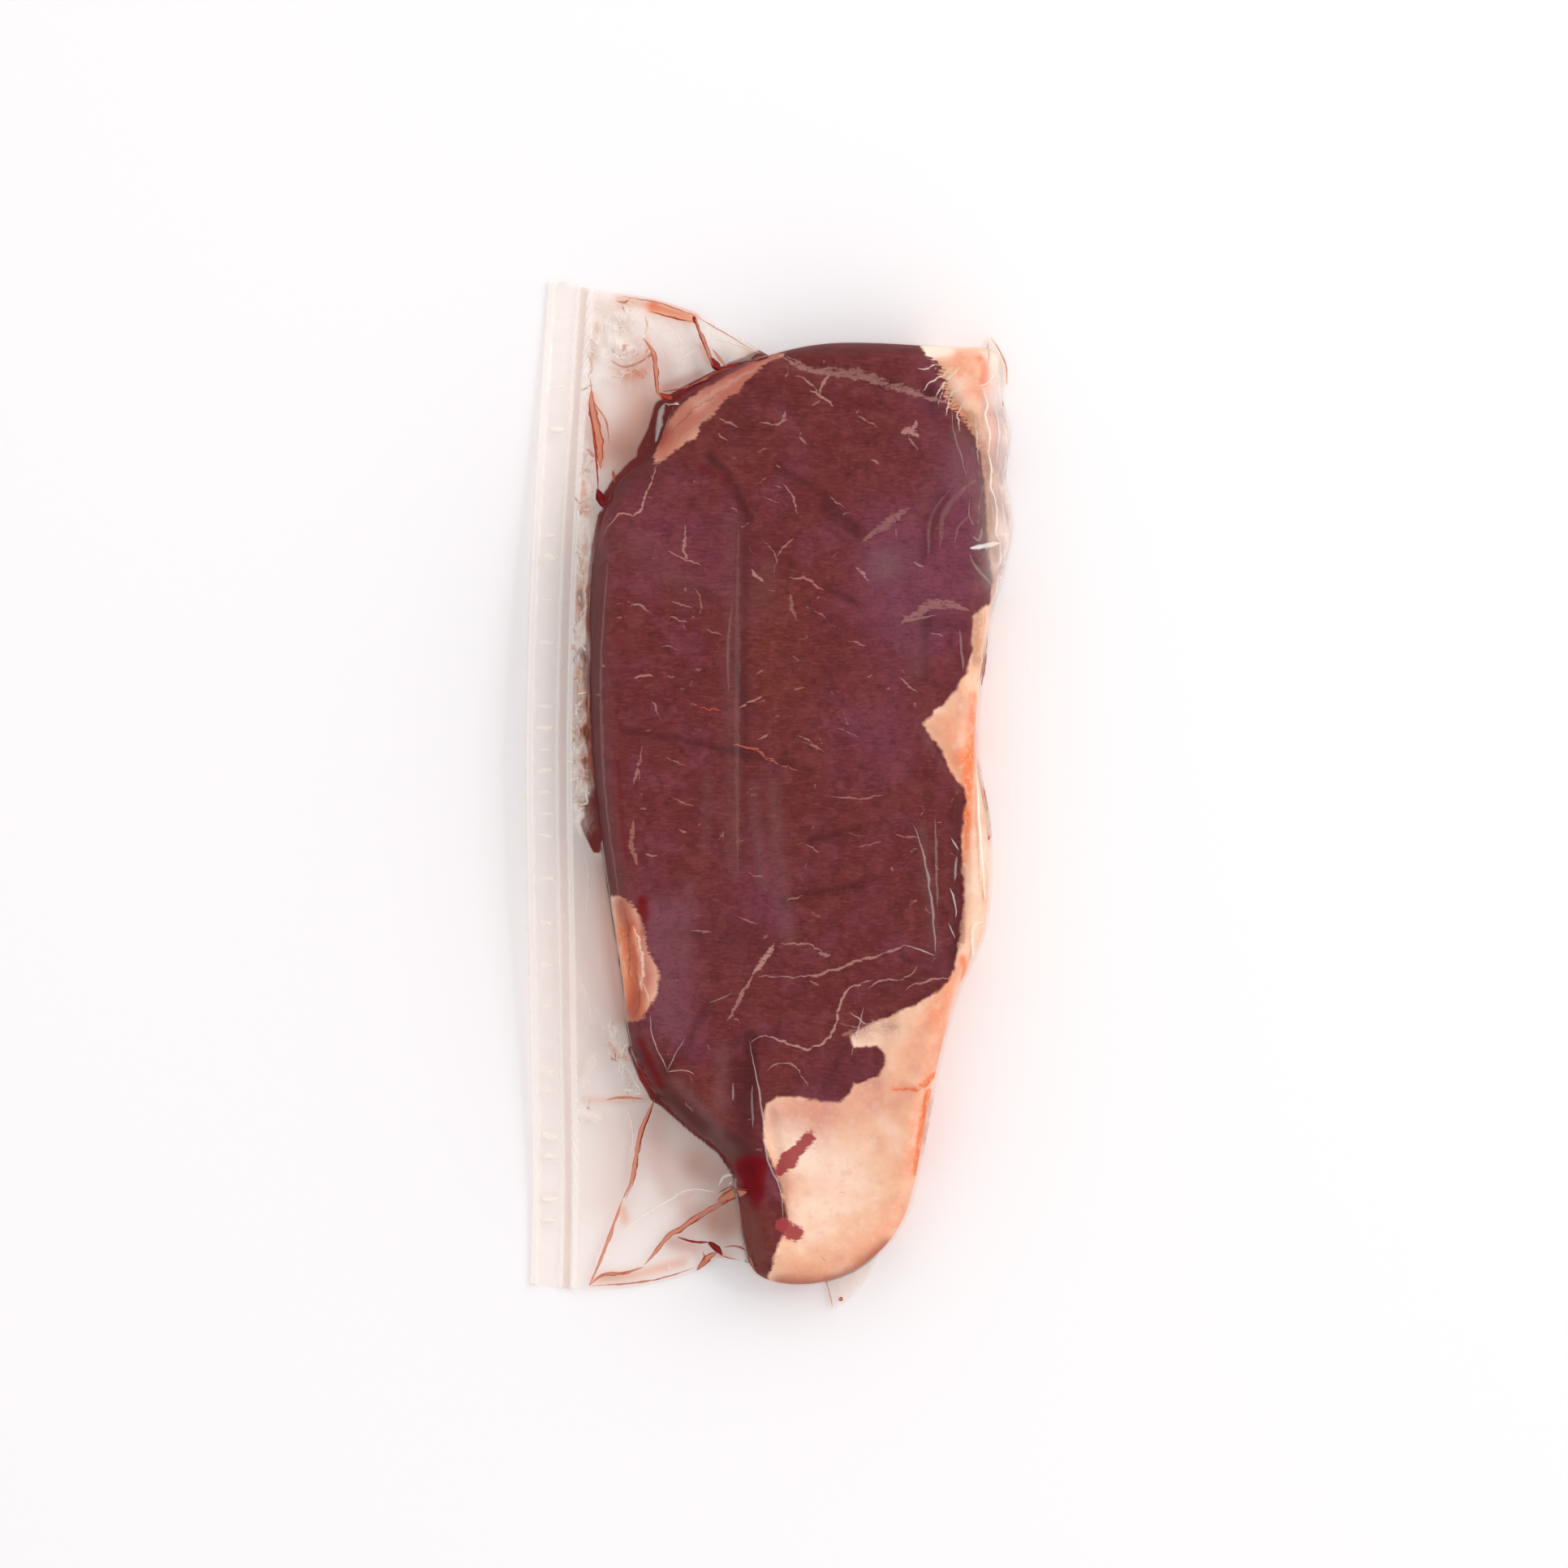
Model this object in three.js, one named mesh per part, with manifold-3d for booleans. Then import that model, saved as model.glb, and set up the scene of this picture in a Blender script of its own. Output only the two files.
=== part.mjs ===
// Raw sirloin steak in a clear vacuum pouch, lying flat on its wide underside.
// Millimetres, +Z up. X runs across the steak and Y along it, from the tail (-Y) to the
// head (+Y). The pouch rests on Z = 0, and the origin is under the middle of the pack.

import * as THREE from "three";
import { mergeVertices } from "three/addons/utils/BufferGeometryUtils.js";
import loadManifold from "manifold-3d";

const wasm = await loadManifold();
wasm.setup();

// Driving dimensions of the meat
const steakHeight = 19;      // cut face above the meat's own underside
const bulgeHeight = 7;       // level at which the wall stands out furthest
const underCut = 3;          // how far the underside stays in from the edge
const wallRun = 5;           // how far in from the edge the rim has rounded over

// Driving dimensions of the pouch
const floorFilm = 0.8;       // film under the meat and in the flat margins
const meatGap = 0.4;         // clearance between meat and pouch, all round
const filmLip = 1.6;         // film that stands out round the meat, at the floor
const lipTop = 1.0;          // and where it closes on the meat's wall
const lipHeight = 7;         // how far up the meat's wall the lip reaches
const tentHeight = 7.5;      // film at the meat's wall, above the floor
const tentRun = 6;           // distance in which the tent falls to about a third
const flangeLift = 7;        // the sealed flange curls up this far at mid-length
const flangeRun = 34;        // distance in from the flange's edge where the curl ends
const sealWidth = 8.5;       // welded strip along the flange
const sealRidge = 0.5;       // how far the weld's two lines stand up
const flapThickness = 1.2;   // small loose flaps of film past the tail and the head

// Mesh fineness
const edgeSteps = 144;       // steps round the meat
const panelColumns = 26;     // across the left-hand film panel
const panelRows = 56;        // along it

// The meat's edge from above, anticlockwise from the tail
const fatSide = [
  [22, -116], [32, -105], [39, -74], [45, -50], [52, -33], [53, -10],
  [50, 11], [53, 42], [58, 66], [56.5, 77], [57.5, 89], [55.5, 99],
];
const headEnd = [[55, 108], [43, 109.5], [14, 110.5], [-1, 107.5]];
const leanSide = [
  [-14, 102.5], [-23, 98], [-29, 84], [-38, 76], [-43.5, 58], [-44.5, 30],
  [-43.5, 4], [-37, -42], [-33, -66], [-22, -80], [-11, -89], [-7.5, -104],
];
const tailEnd = [[-4, -117.5], [8, -120.5]];

// Middle line of the meat, from tail to head
const spineTail = [9, -98];
const spineHead = [6, 70];
const spineStep = 8;

// Places where the wall leans further in than wallRun
const wallSlopes = [
  { at: [57, 86], reach: 30, extra: 5 },     // fat cap beside the head
  { at: [-26, -76], reach: 20, extra: 6 },   // lean curling down to the tail
  { at: [8, -119], reach: 18, extra: 7 },    // end of the tail
  { at: [-30, 88], reach: 16, extra: 3 },    // corner of the lean at the head
];

// Broad rises and dips of the cut face
const swells = [
  { at: [2, 25], reach: 55, rise: 1.2 },     // eye of the lean
  { at: [24, -100], reach: 26, rise: -4.5 }, // tail fat lies lower
  { at: [-30, 92], reach: 18, rise: -3 },    // corner thins out
  { at: [38, 10], reach: 12, rise: -1 },     // notch of fat in the lean
];

// Grooves where one muscle or the fat meets the next
const seams = [
  { width: 4, depth: 1.1, path: [[3, 106], [14, 102], [31, 98.5], [44, 95]] },
  { width: 4, depth: 0.9, path: [[38, 108], [44, 95], [50, 82], [51, 60]] },
  { width: 4, depth: 0.9, path: [[51, 32], [37, 17], [47, 1], [46, -25], [43, -45], [28, -55]] },
  { width: 4, depth: 1.1, path: [[28, -55], [24, -70], [-1, -75], [2, -96]] },
];

// Free edges of the left-hand film panel, and its hidden edge under the meat
const flangeEdge = [
  [-60, -121.5], [-59.5, -96], [-60, -40], [-60.5, 15], [-59, 68], [-57, 105], [-55.5, 127],
];
const headEdge = [[-55.5, 127], [-44, 125], [-29, 122.5], [-18.5, 119], [-10, 114], [-4, 110], [2, 106]];
const tailEdge = [[-60, -121.5], [-45.5, -123], [-32, -122], [-18, -118], [-13.5, -115], [-1, -116]];
const hiddenEdge = [[-1, -116], [2, 106]];

// Folds of the film in the two open margins
const filmFolds = [
  { width: 4, depth: -1.6, path: [[-18.5, 118], [-15, 104]] },
  { width: 4, depth: -1.4, path: [[-41, 108], [-35, 104], [-29, 108]] },
  { width: 4, depth: -1.8, path: [[-46, 104], [-41, 91], [-43, 74]] },
  { width: 4, depth: -1.6, path: [[-30, -75], [-34, -92], [-40, -108], [-45, -122]] },
  { width: 4, depth: -1.6, path: [[-8, -99], [-24, -108], [-33, -117], [-45, -122]] },
];

// Loose flaps of film past the tail and at the head's outer corner
const tailFlap = [[12, -117], [14, -123], [15, -127], [21, -126], [25, -115], [20, -110]];
const headFlap = [[44, 107], [54, 113], [59, 109.5], [55, 103]];

function flatCurve(points, closed = false) {
  const path = points.map(([x, y]) => new THREE.Vector3(x, y, 0));
  return new THREE.CatmullRomCurve3(path, closed, "centripetal");
}

function smooth(t) {
  return THREE.MathUtils.smoothstep(t, 0, 1);
}

function bump(spot, x, y) {
  const away = Math.hypot(x - spot.at[0], y - spot.at[1]) / spot.reach;
  return Math.exp(-away * away);
}

function distanceToPath(path, x, y) {
  let nearest = Infinity;
  for (let i = 0; i + 1 < path.length; i += 1) {
    const [ax, ay] = path[i];
    const [bx, by] = path[i + 1];
    const run = (bx - ax) ** 2 + (by - ay) ** 2;
    const t = THREE.MathUtils.clamp(((x - ax) * (bx - ax) + (y - ay) * (by - ay)) / run, 0, 1);
    nearest = Math.min(nearest, Math.hypot(x - ax - t * (bx - ax), y - ay - t * (by - ay)));
  }
  return nearest;
}

function grooves(list, x, y) {
  let depth = 0;
  for (const groove of list) {
    const away = distanceToPath(groove.path, x, y) / (groove.width / 2);
    depth += groove.depth * Math.exp(-away * away);
  }
  return depth;
}

const meatCurve = flatCurve([...fatSide, ...headEnd, ...leanSide, ...tailEnd], true);
const meatEdge = meatCurve.getSpacedPoints(edgeSteps).slice(0, edgeSteps);
const meatLoop = [...meatEdge, meatEdge[0]].map((point) => [point.x, point.y]);

// Each point of the edge pushed outward by a distance
function grownEdge(distance) {
  return meatEdge.map((point, i) => {
    const before = meatEdge[(i + edgeSteps - 1) % edgeSteps];
    const after = meatEdge[(i + 1) % edgeSteps];
    const along = new THREE.Vector3().subVectors(after, before).normalize();
    return new THREE.Vector3(point.x + along.y * distance, point.y - along.x * distance, 0);
  });
}

// The point of the middle line beside a point of the edge
function spineBeside(point, snap) {
  const tail = new THREE.Vector3(...spineTail, 0);
  const head = new THREE.Vector3(...spineHead, 0);
  const length = tail.distanceTo(head);
  const steps = Math.round(length / spineStep);
  const along = new THREE.Vector3().subVectors(head, tail).normalize();
  const run = new THREE.Vector3().subVectors(point, tail).dot(along) / length;
  let t = THREE.MathUtils.clamp(run, 0, 1);
  if (snap) t = Math.round(t * steps) / steps;
  return tail.lerp(head, t);
}

function faceHeight(x, y) {
  let z = steakHeight;
  for (const swell of swells) z += swell.rise * bump(swell, x, y);
  return z - grooves(seams, x, y);
}

function wallRunAt(x, y) {
  let run = wallRun;
  for (const slope of wallSlopes) run += slope.extra * bump(slope, x, y);
  return run;
}

// A closed geometry from rings that start and end on the middle line
function skinOfRings(rings) {
  const positions = [];
  const index = [];
  for (const ring of rings) {
    for (const point of ring) positions.push(point.x, point.y, point.z);
  }
  for (let row = 0; row + 1 < rings.length; row += 1) {
    for (let step = 0; step < edgeSteps; step += 1) {
      const a = row * edgeSteps + step;
      const b = row * edgeSteps + ((step + 1) % edgeSteps);
      index.push(a, b, b + edgeSteps);
      index.push(a, b + edgeSteps, a + edgeSteps);
    }
  }
  return weld(positions, index);
}

// A closed geometry between two height functions over a patch of plan points
function skinOfPatch(planAt, columns, rows, topAt, bottomAt) {
  const positions = [];
  const index = [];
  const layer = (columns + 1) * (rows + 1);
  for (const heightAt of [topAt, bottomAt]) {
    for (let row = 0; row <= rows; row += 1) {
      for (let column = 0; column <= columns; column += 1) {
        const plan = planAt(column / columns, row / rows);
        positions.push(plan.x, plan.y, heightAt(plan.x, plan.y, column / columns, row / rows));
      }
    }
  }
  const at = (column, row) => row * (columns + 1) + column;
  const quad = (a, b, c, d) => index.push(a, b, c, a, c, d);
  for (let row = 0; row < rows; row += 1) {
    for (let column = 0; column < columns; column += 1) {
      const a = at(column, row);
      const b = at(column + 1, row);
      const c = at(column + 1, row + 1);
      const d = at(column, row + 1);
      quad(a, b, c, d);
      quad(layer + a, layer + d, layer + c, layer + b);
    }
  }
  for (let column = 0; column < columns; column += 1) {
    const [a, b] = [at(column, 0), at(column + 1, 0)];
    const [c, d] = [at(column, rows), at(column + 1, rows)];
    quad(layer + a, layer + b, b, a);
    quad(layer + d, layer + c, c, d);
  }
  for (let row = 0; row < rows; row += 1) {
    const [a, b] = [at(0, row), at(0, row + 1)];
    const [c, d] = [at(columns, row), at(columns, row + 1)];
    quad(layer + b, layer + a, a, b);
    quad(layer + c, layer + d, d, c);
  }
  return weld(positions, index);
}

// Shared corners merged, and the triangles that merging closes up left out
function weld(positions, index) {
  const loose = new THREE.BufferGeometry();
  loose.setAttribute("position", new THREE.Float32BufferAttribute(positions, 3));
  loose.setIndex(index);
  const merged = mergeVertices(loose, 1e-4);
  const corners = merged.index.array;
  const kept = [];
  for (let i = 0; i < corners.length; i += 3) {
    const [a, b, c] = [corners[i], corners[i + 1], corners[i + 2]];
    if (a !== b && b !== c && c !== a) kept.push(a, b, c);
  }
  merged.setIndex(kept);
  return merged;
}

function toSolid(geometry) {
  return new wasm.Manifold(new wasm.Mesh({
    numProp: 3,
    vertProperties: new Float32Array(geometry.attributes.position.array),
    triVerts: new Uint32Array(geometry.index.array),
  }));
}

function toGeometry(solid) {
  const mesh = solid.getMesh();
  const geometry = new THREE.BufferGeometry();
  geometry.setAttribute("position", new THREE.Float32BufferAttribute(mesh.vertProperties, 3));
  geometry.setIndex(Array.from(mesh.triVerts));
  return geometry;
}

function named(name, geometry, material) {
  geometry.computeVertexNormals();
  const mesh = new THREE.Mesh(geometry, material);
  mesh.name = name;
  return mesh;
}

// Meat: one thick slice with a flat underside, bulging walls, a rounded rim and a cut face
function steakGeometry() {
  const underSteps = 3;
  const rimSteps = 6;
  const faceSteps = 6;
  const rings = [];
  const inset = (distance, z) => meatEdge.map((point) => {
    const middle = spineBeside(point, false);
    const spot = point.clone().lerp(middle, distance(point) / point.distanceTo(middle));
    return spot.setZ(z(spot));
  });
  rings.push(meatEdge.map((point) => spineBeside(point, true)));
  rings.push(meatEdge.map((point) => point.clone().lerp(spineBeside(point, false), 0.5)));
  for (let step = 0; step <= underSteps; step += 1) {
    const angle = (step / underSteps) * Math.PI / 2;
    rings.push(inset(() => underCut * (1 - Math.sin(angle)), () => bulgeHeight * (1 - Math.cos(angle))));
  }
  for (let step = 1; step <= rimSteps; step += 1) {
    const angle = (step / rimSteps) * Math.PI / 2;
    const run = (point) => wallRunAt(point.x, point.y) * (1 - Math.cos(angle));
    const rise = (spot) => faceHeight(spot.x, spot.y) - bulgeHeight;
    rings.push(inset(run, (spot) => bulgeHeight + rise(spot) * Math.sin(angle)));
  }
  const rim = rings[rings.length - 1];
  for (let step = 1; step <= faceSteps; step += 1) {
    const isMiddle = step === faceSteps;
    rings.push(meatEdge.map((point, i) => {
      const spot = rim[i].clone().lerp(spineBeside(point, isMiddle), step / faceSteps);
      return spot.setZ(faceHeight(spot.x, spot.y));
    }));
  }
  const geometry = skinOfRings(rings);
  geometry.translate(0, 0, floorFilm + meatGap);
  return geometry;
}

// A block between two levels, each with the meat's edge grown by its own distance
function edgeBlock(low, lowGrow, high, highGrow) {
  const middle = meatEdge.map((point) => spineBeside(point, true));
  return skinOfRings([
    middle.map((point) => point.clone().setZ(low)),
    grownEdge(lowGrow).map((point) => point.setZ(low)),
    grownEdge(highGrow).map((point) => point.setZ(high)),
    middle.map((point) => point.clone().setZ(high)),
  ]);
}

// A plan point of the film panel, blended between its four edges
const panelEdges = {
  flange: flatCurve(flangeEdge),
  hidden: flatCurve(hiddenEdge),
  tail: flatCurve(tailEdge),
  head: flatCurve(headEdge),
};

function panelPlan(u, v) {
  const { flange, hidden, tail, head } = panelEdges;
  const plan = tail.getPointAt(u).multiplyScalar(1 - v).addScaledVector(head.getPointAt(u), v);
  plan.addScaledVector(flange.getPointAt(v), 1 - u).addScaledVector(hidden.getPointAt(v), u);
  plan.addScaledVector(flange.getPointAt(0), -(1 - u) * (1 - v));
  plan.addScaledVector(hidden.getPointAt(0), -u * (1 - v));
  plan.addScaledVector(flange.getPointAt(1), -(1 - u) * v);
  plan.addScaledVector(hidden.getPointAt(1), -u * v);
  return plan;
}

// The flange's free edge curls up between its two ends
function curl(x, y, u, v) {
  const fromEdge = distanceToPath(flangeEdge, x, y) / flangeRun;
  return flangeLift * (1 - smooth(fromEdge)) * Math.sin(Math.PI * v) ** 2;
}

function panelTop(x, y, u, v) {
  const fromMeat = distanceToPath(meatLoop, x, y);
  const fromEdge = distanceToPath(flangeEdge, x, y);
  const tent = (tentHeight - floorFilm) * Math.exp(-fromMeat / tentRun);
  const weldLines = Math.exp(-((fromEdge - 1) ** 2)) + Math.exp(-((fromEdge - sealWidth) ** 2));
  const folds = -grooves(filmFolds, x, y);
  return curl(x, y, u, v) + floorFilm + tent + folds + sealRidge * weldLines;
}

function flapGeometry(outline) {
  const shape = new THREE.Shape(outline.map(([x, y]) => new THREE.Vector2(x, y)));
  const geometry = new THREE.ExtrudeGeometry(shape, { depth: flapThickness, bevelEnabled: false });
  geometry.deleteAttribute("normal");
  geometry.deleteAttribute("uv");
  return mergeVertices(geometry, 1e-4);
}

// Pouch: floor film, left-hand panel with its sealed flange, lip round the meat and two flaps,
// with the pocket that the meat fills cut out of them
function pouchGeometry() {
  const panel = skinOfPatch(panelPlan, panelColumns, panelRows, panelTop, curl);
  const lip = edgeBlock(0, filmLip, lipHeight, lipTop);
  const pocket = edgeBlock(floorFilm, meatGap, 2 * steakHeight, meatGap);
  const film = toSolid(panel).add(toSolid(lip)).add(toSolid(flapGeometry(tailFlap)));
  return toGeometry(film.add(toSolid(flapGeometry(headFlap))).subtract(toSolid(pocket)));
}

const rawBeef = new THREE.MeshStandardMaterial({ color: "#723837", roughness: 0.4, metalness: 0 });
const clearFilm = new THREE.MeshStandardMaterial({ color: "#ead7cf", roughness: 0.2, metalness: 0 });

const steakPack = new THREE.Group();
steakPack.add(named("steak", steakGeometry(), rawBeef));
steakPack.add(named("pouch", pouchGeometry(), clearFilm));

const reach = new THREE.Box3().setFromObject(steakPack);
const middle = reach.getCenter(new THREE.Vector3());
steakPack.position.set(-middle.x, -middle.y, -reach.min.z);

export default steakPack;
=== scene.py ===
# Raw sirloin steak in a clear vacuum pouch: the meat and its marbling, the film, and the juice in its folds.
# Places are in millimetres over the plan of the pack, and meshes are written in metres.
import math

import bmesh
import bpy
import numpy as np
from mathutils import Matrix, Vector, kdtree, noise


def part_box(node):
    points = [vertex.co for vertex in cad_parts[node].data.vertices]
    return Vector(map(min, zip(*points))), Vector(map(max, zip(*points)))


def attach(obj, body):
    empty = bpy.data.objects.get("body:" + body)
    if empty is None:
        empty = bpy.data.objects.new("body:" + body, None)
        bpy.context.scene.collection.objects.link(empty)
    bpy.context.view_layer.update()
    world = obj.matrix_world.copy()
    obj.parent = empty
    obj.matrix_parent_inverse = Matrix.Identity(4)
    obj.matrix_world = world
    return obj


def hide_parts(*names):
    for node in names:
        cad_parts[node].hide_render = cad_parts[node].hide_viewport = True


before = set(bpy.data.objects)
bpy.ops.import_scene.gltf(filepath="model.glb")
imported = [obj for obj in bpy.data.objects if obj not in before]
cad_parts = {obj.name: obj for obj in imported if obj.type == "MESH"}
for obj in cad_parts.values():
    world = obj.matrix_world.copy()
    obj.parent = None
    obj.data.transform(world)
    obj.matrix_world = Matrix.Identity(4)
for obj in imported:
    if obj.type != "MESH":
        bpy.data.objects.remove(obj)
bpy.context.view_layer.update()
packLow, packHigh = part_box("pouch")
mm = 0.001

# plan of the pack, the same landmarks as the solids have
fatSide = [
    (22, -116), (32, -105), (39, -74), (45, -50), (52, -33), (53, -10),
    (50, 11), (53, 42), (58, 66), (56.5, 77), (57.5, 89), (55.5, 99),
]
headEnd = [(55, 108), (43, 109.5), (14, 110.5), (-1, 107.5)]
leanSide = [
    (-14, 102.5), (-23, 98), (-29, 84), (-38, 76), (-43.5, 58), (-44.5, 30),
    (-43.5, 4), (-37, -42), (-33, -66), (-22, -80), (-11, -89), (-7.5, -104),
]
tailEnd = [(-4, -117.5), (8, -120.5)]
flangeEdge = [(-60, -121.5), (-59.5, -96), (-60, -40), (-60.5, 15), (-59, 68), (-57, 105), (-55.5, 127)]
headEdge = [(-55.5, 127), (-44, 125), (-29, 122.5), (-18.5, 119), (-10, 114), (-4, 110), (2, 106)]
tailEdge = [(-60, -121.5), (-45.5, -123), (-32, -122), (-18, -118), (-13.5, -115), (-1, -116)]
tuckedEdge = [  # the panel's inner edge, behind the meat's wall
    (-1, -116), (0, -102), (-4, -88), (-16, -76), (-27, -62), (-31, -40), (-35, -10), (-38, 15),
    (-38, 45), (-33, 68), (-25, 80), (-18, 92), (-8, 99), (2, 106),
]


# evenly spaced points on a centripetal curve through the landmarks
def smoothPath(points, count, closed=False, between=24):
    pts = np.array(points, float)
    if closed:
        ring = np.vstack([pts[-1], pts, pts[0], pts[1]])
    else:
        ring = np.vstack([2 * pts[0] - pts[1], pts, 2 * pts[-1] - pts[-2]])
    fine = []
    for p0, p1, p2, p3 in zip(ring[:-3], ring[1:-2], ring[2:-1], ring[3:]):
        d0, d1, d2 = (max(np.linalg.norm(b - a), 1e-6) ** 0.5 for a, b in ((p0, p1), (p1, p2), (p2, p3)))
        m1 = ((p1 - p0) / d0 - (p2 - p0) / (d0 + d1) + (p2 - p1) / d1) * d1
        m2 = ((p2 - p1) / d1 - (p3 - p1) / (d1 + d2) + (p3 - p2) / d2) * d1
        t = np.linspace(0, 1, between, endpoint=False)[:, None]
        fine.append(p1 + m1 * t + (3 * (p2 - p1) - 2 * m1 - m2) * t ** 2 + (2 * (p1 - p2) + m1 + m2) * t ** 3)
    fine.append(ring[-2][None])
    line = np.vstack(fine)
    run = np.r_[0, np.cumsum(np.linalg.norm(np.diff(line, axis=0), axis=1))]
    at = np.linspace(0, run[-1], count, endpoint=not closed)
    return np.column_stack([np.interp(at, run, line[:, 0]), np.interp(at, run, line[:, 1])])


# where the plan's own origin lies in the frame, in mm, with the flange's outermost point at the pack's low side
placeX = packLow.x / mm - smoothPath(flangeEdge, 400)[:, 0].min()
placeY = (packLow.y + packHigh.y) / 2 / mm


# distance in mm from plan points to a path, or to its only point
def distanceTo(path, x, y):
    nearest = np.full(np.shape(x), np.inf)
    ends = path[1:] if len(path) > 1 else path
    for (ax, ay), (bx, by) in zip(path, ends):
        run = (bx - ax) ** 2 + (by - ay) ** 2 + 1e-12
        t = np.clip(((x - ax) * (bx - ax) + (y - ay) * (by - ay)) / run, 0, 1)
        nearest = np.minimum(nearest, np.hypot(x - ax - t * (bx - ax), y - ay - t * (by - ay)))
    return nearest


# distance to a closed outline, positive inside it
def signedDistance(outline, x, y):
    loop = np.vstack([outline, outline[:1]])
    inside = np.zeros(np.shape(x), bool)
    for (ax, ay), (bx, by) in zip(loop[:-1], loop[1:]):
        crosses = ((ay > y) != (by > y)) & (x < (bx - ax) * (y - ay) / (by - ay + 1e-12) + ax)
        inside ^= crosses
    return np.where(inside, 1, -1) * distanceTo(loop, x, y)


# total of soft marks, each an amount, a width in mm and the path it follows
def marked(marks, x, y):
    total = np.zeros(np.shape(x))
    for amount, width, path in marks:
        total += amount * np.exp(-(distanceTo(path, x, y) / width) ** 2)
    return total


def smoothStep(low, high, value):
    t = np.clip((value - low) / (high - low), 0, 1)
    return t * t * (3 - 2 * t)


# soft noise from -1 to 1 over the plan, with features of a size in mm
def unevenness(x, y, size, seed, octaves=4):
    return np.array([noise.fractal((a / size, b / size, seed), 0.9, 2.1, octaves) for a, b in zip(x, y)])


# noise with sharp ridges, as creased film has, from 0 to 1 on the ridge
def crumple(x, y, size, seed):
    return 1 - 2 * np.abs([noise.noise((a / size, b / size, seed)) for a, b in zip(x, y)])


# a mesh object at the origin from points in mm over the plan
def meshOf(name, verts, faces, edges=()):
    mesh = bpy.data.meshes.new(name)
    mesh.from_pydata(((np.asarray(verts, float) + (placeX, placeY, 0)) * mm).tolist(), edges, faces)
    obj = bpy.data.objects.new(name, mesh)
    bpy.context.scene.collection.objects.link(obj)
    return obj


# merges coincident points, closes cut ends, turns the faces outward and smooths the shading
def closeUp(obj, reach=2e-6, sliver=1e-7, widestHole=40):
    work = bmesh.new()
    work.from_mesh(obj.data)
    bmesh.ops.remove_doubles(work, verts=work.verts, dist=reach)
    bmesh.ops.dissolve_degenerate(work, edges=work.edges, dist=sliver)
    bmesh.ops.delete(work, geom=[edge for edge in work.edges if edge.is_wire], context="EDGES")
    bmesh.ops.holes_fill(work, edges=[edge for edge in work.edges if edge.is_boundary], sides=widestHole)
    bmesh.ops.recalc_face_normals(work, faces=work.faces)
    work.to_mesh(obj.data)
    work.free()
    obj.data.shade_smooth()
    return obj


# the points of a mesh in mm over the plan
def planOf(obj):
    coords = np.empty(len(obj.data.vertices) * 3)
    obj.data.vertices.foreach_get("co", coords)
    return coords.reshape(-1, 3) / mm - (placeX, placeY, 0)


def movePoints(obj, points):
    obj.data.vertices.foreach_set("co", ((points + (placeX, placeY, 0)) * mm).ravel())
    obj.data.update()


def paint(obj, **fields):
    for name, values in fields.items():
        layer = obj.data.attributes.new(name, "FLOAT", "POINT")
        layer.data.foreach_set("value", np.broadcast_to(np.float32(values), len(obj.data.vertices)))


def unpaint(obj, names):
    for name in names:
        if name in obj.data.attributes:
            obj.data.attributes.remove(obj.data.attributes[name])


# an sRGB hex colour as linear values
def linear(hexColour):
    values = [int(hexColour[i:i + 2], 16) / 255 for i in (1, 3, 5)]
    return tuple(v / 12.92 if v <= 0.04045 else ((v + 0.055) / 1.055) ** 2.4 for v in values) + (1.0,)


# one node with its settings, and a value or a link for each input, by its name or its place;
# gives back its first output, the one that out names, or all of them for out="all"
def addNode(tree, kind, inputs=None, out=None, **settings):
    node = tree.nodes.new(kind)
    for name, value in settings.items():
        setattr(node, name, value)
    shown = [socket for socket in node.inputs if socket.enabled]
    for key, value in (inputs or {}).items():
        socket = shown[key] if isinstance(key, int) else next(s for s in shown if s.name == key)
        if isinstance(value, bpy.types.NodeSocket):
            tree.links.new(value, socket)
        else:
            socket.default_value = value
    given = {socket.name: socket for socket in reversed(node.outputs) if socket.enabled}
    if out == "all":
        return given
    return given[out] if out else next(reversed(given.values()), node)


# a colour with tones laid over it, each by how far a value has gone from low to high
def layered(tree, colour, layers):
    for value, low, high, most, tone in layers:
        share = addNode(tree, "ShaderNodeMapRange", {0: value, 1: low, 2: high, 3: 0.0, 4: most},
                        interpolation_type="SMOOTHSTEP")
        mixed = {"Factor": share, "A": colour, "B": linear(tone)}
        colour = addNode(tree, "ShaderNodeMix", mixed, data_type="RGBA")
    return colour


def newMaterial(name):
    material = bpy.data.materials.new(name)
    material.use_nodes = True
    material.node_tree.nodes.clear()
    return material, material.node_tree


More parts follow.
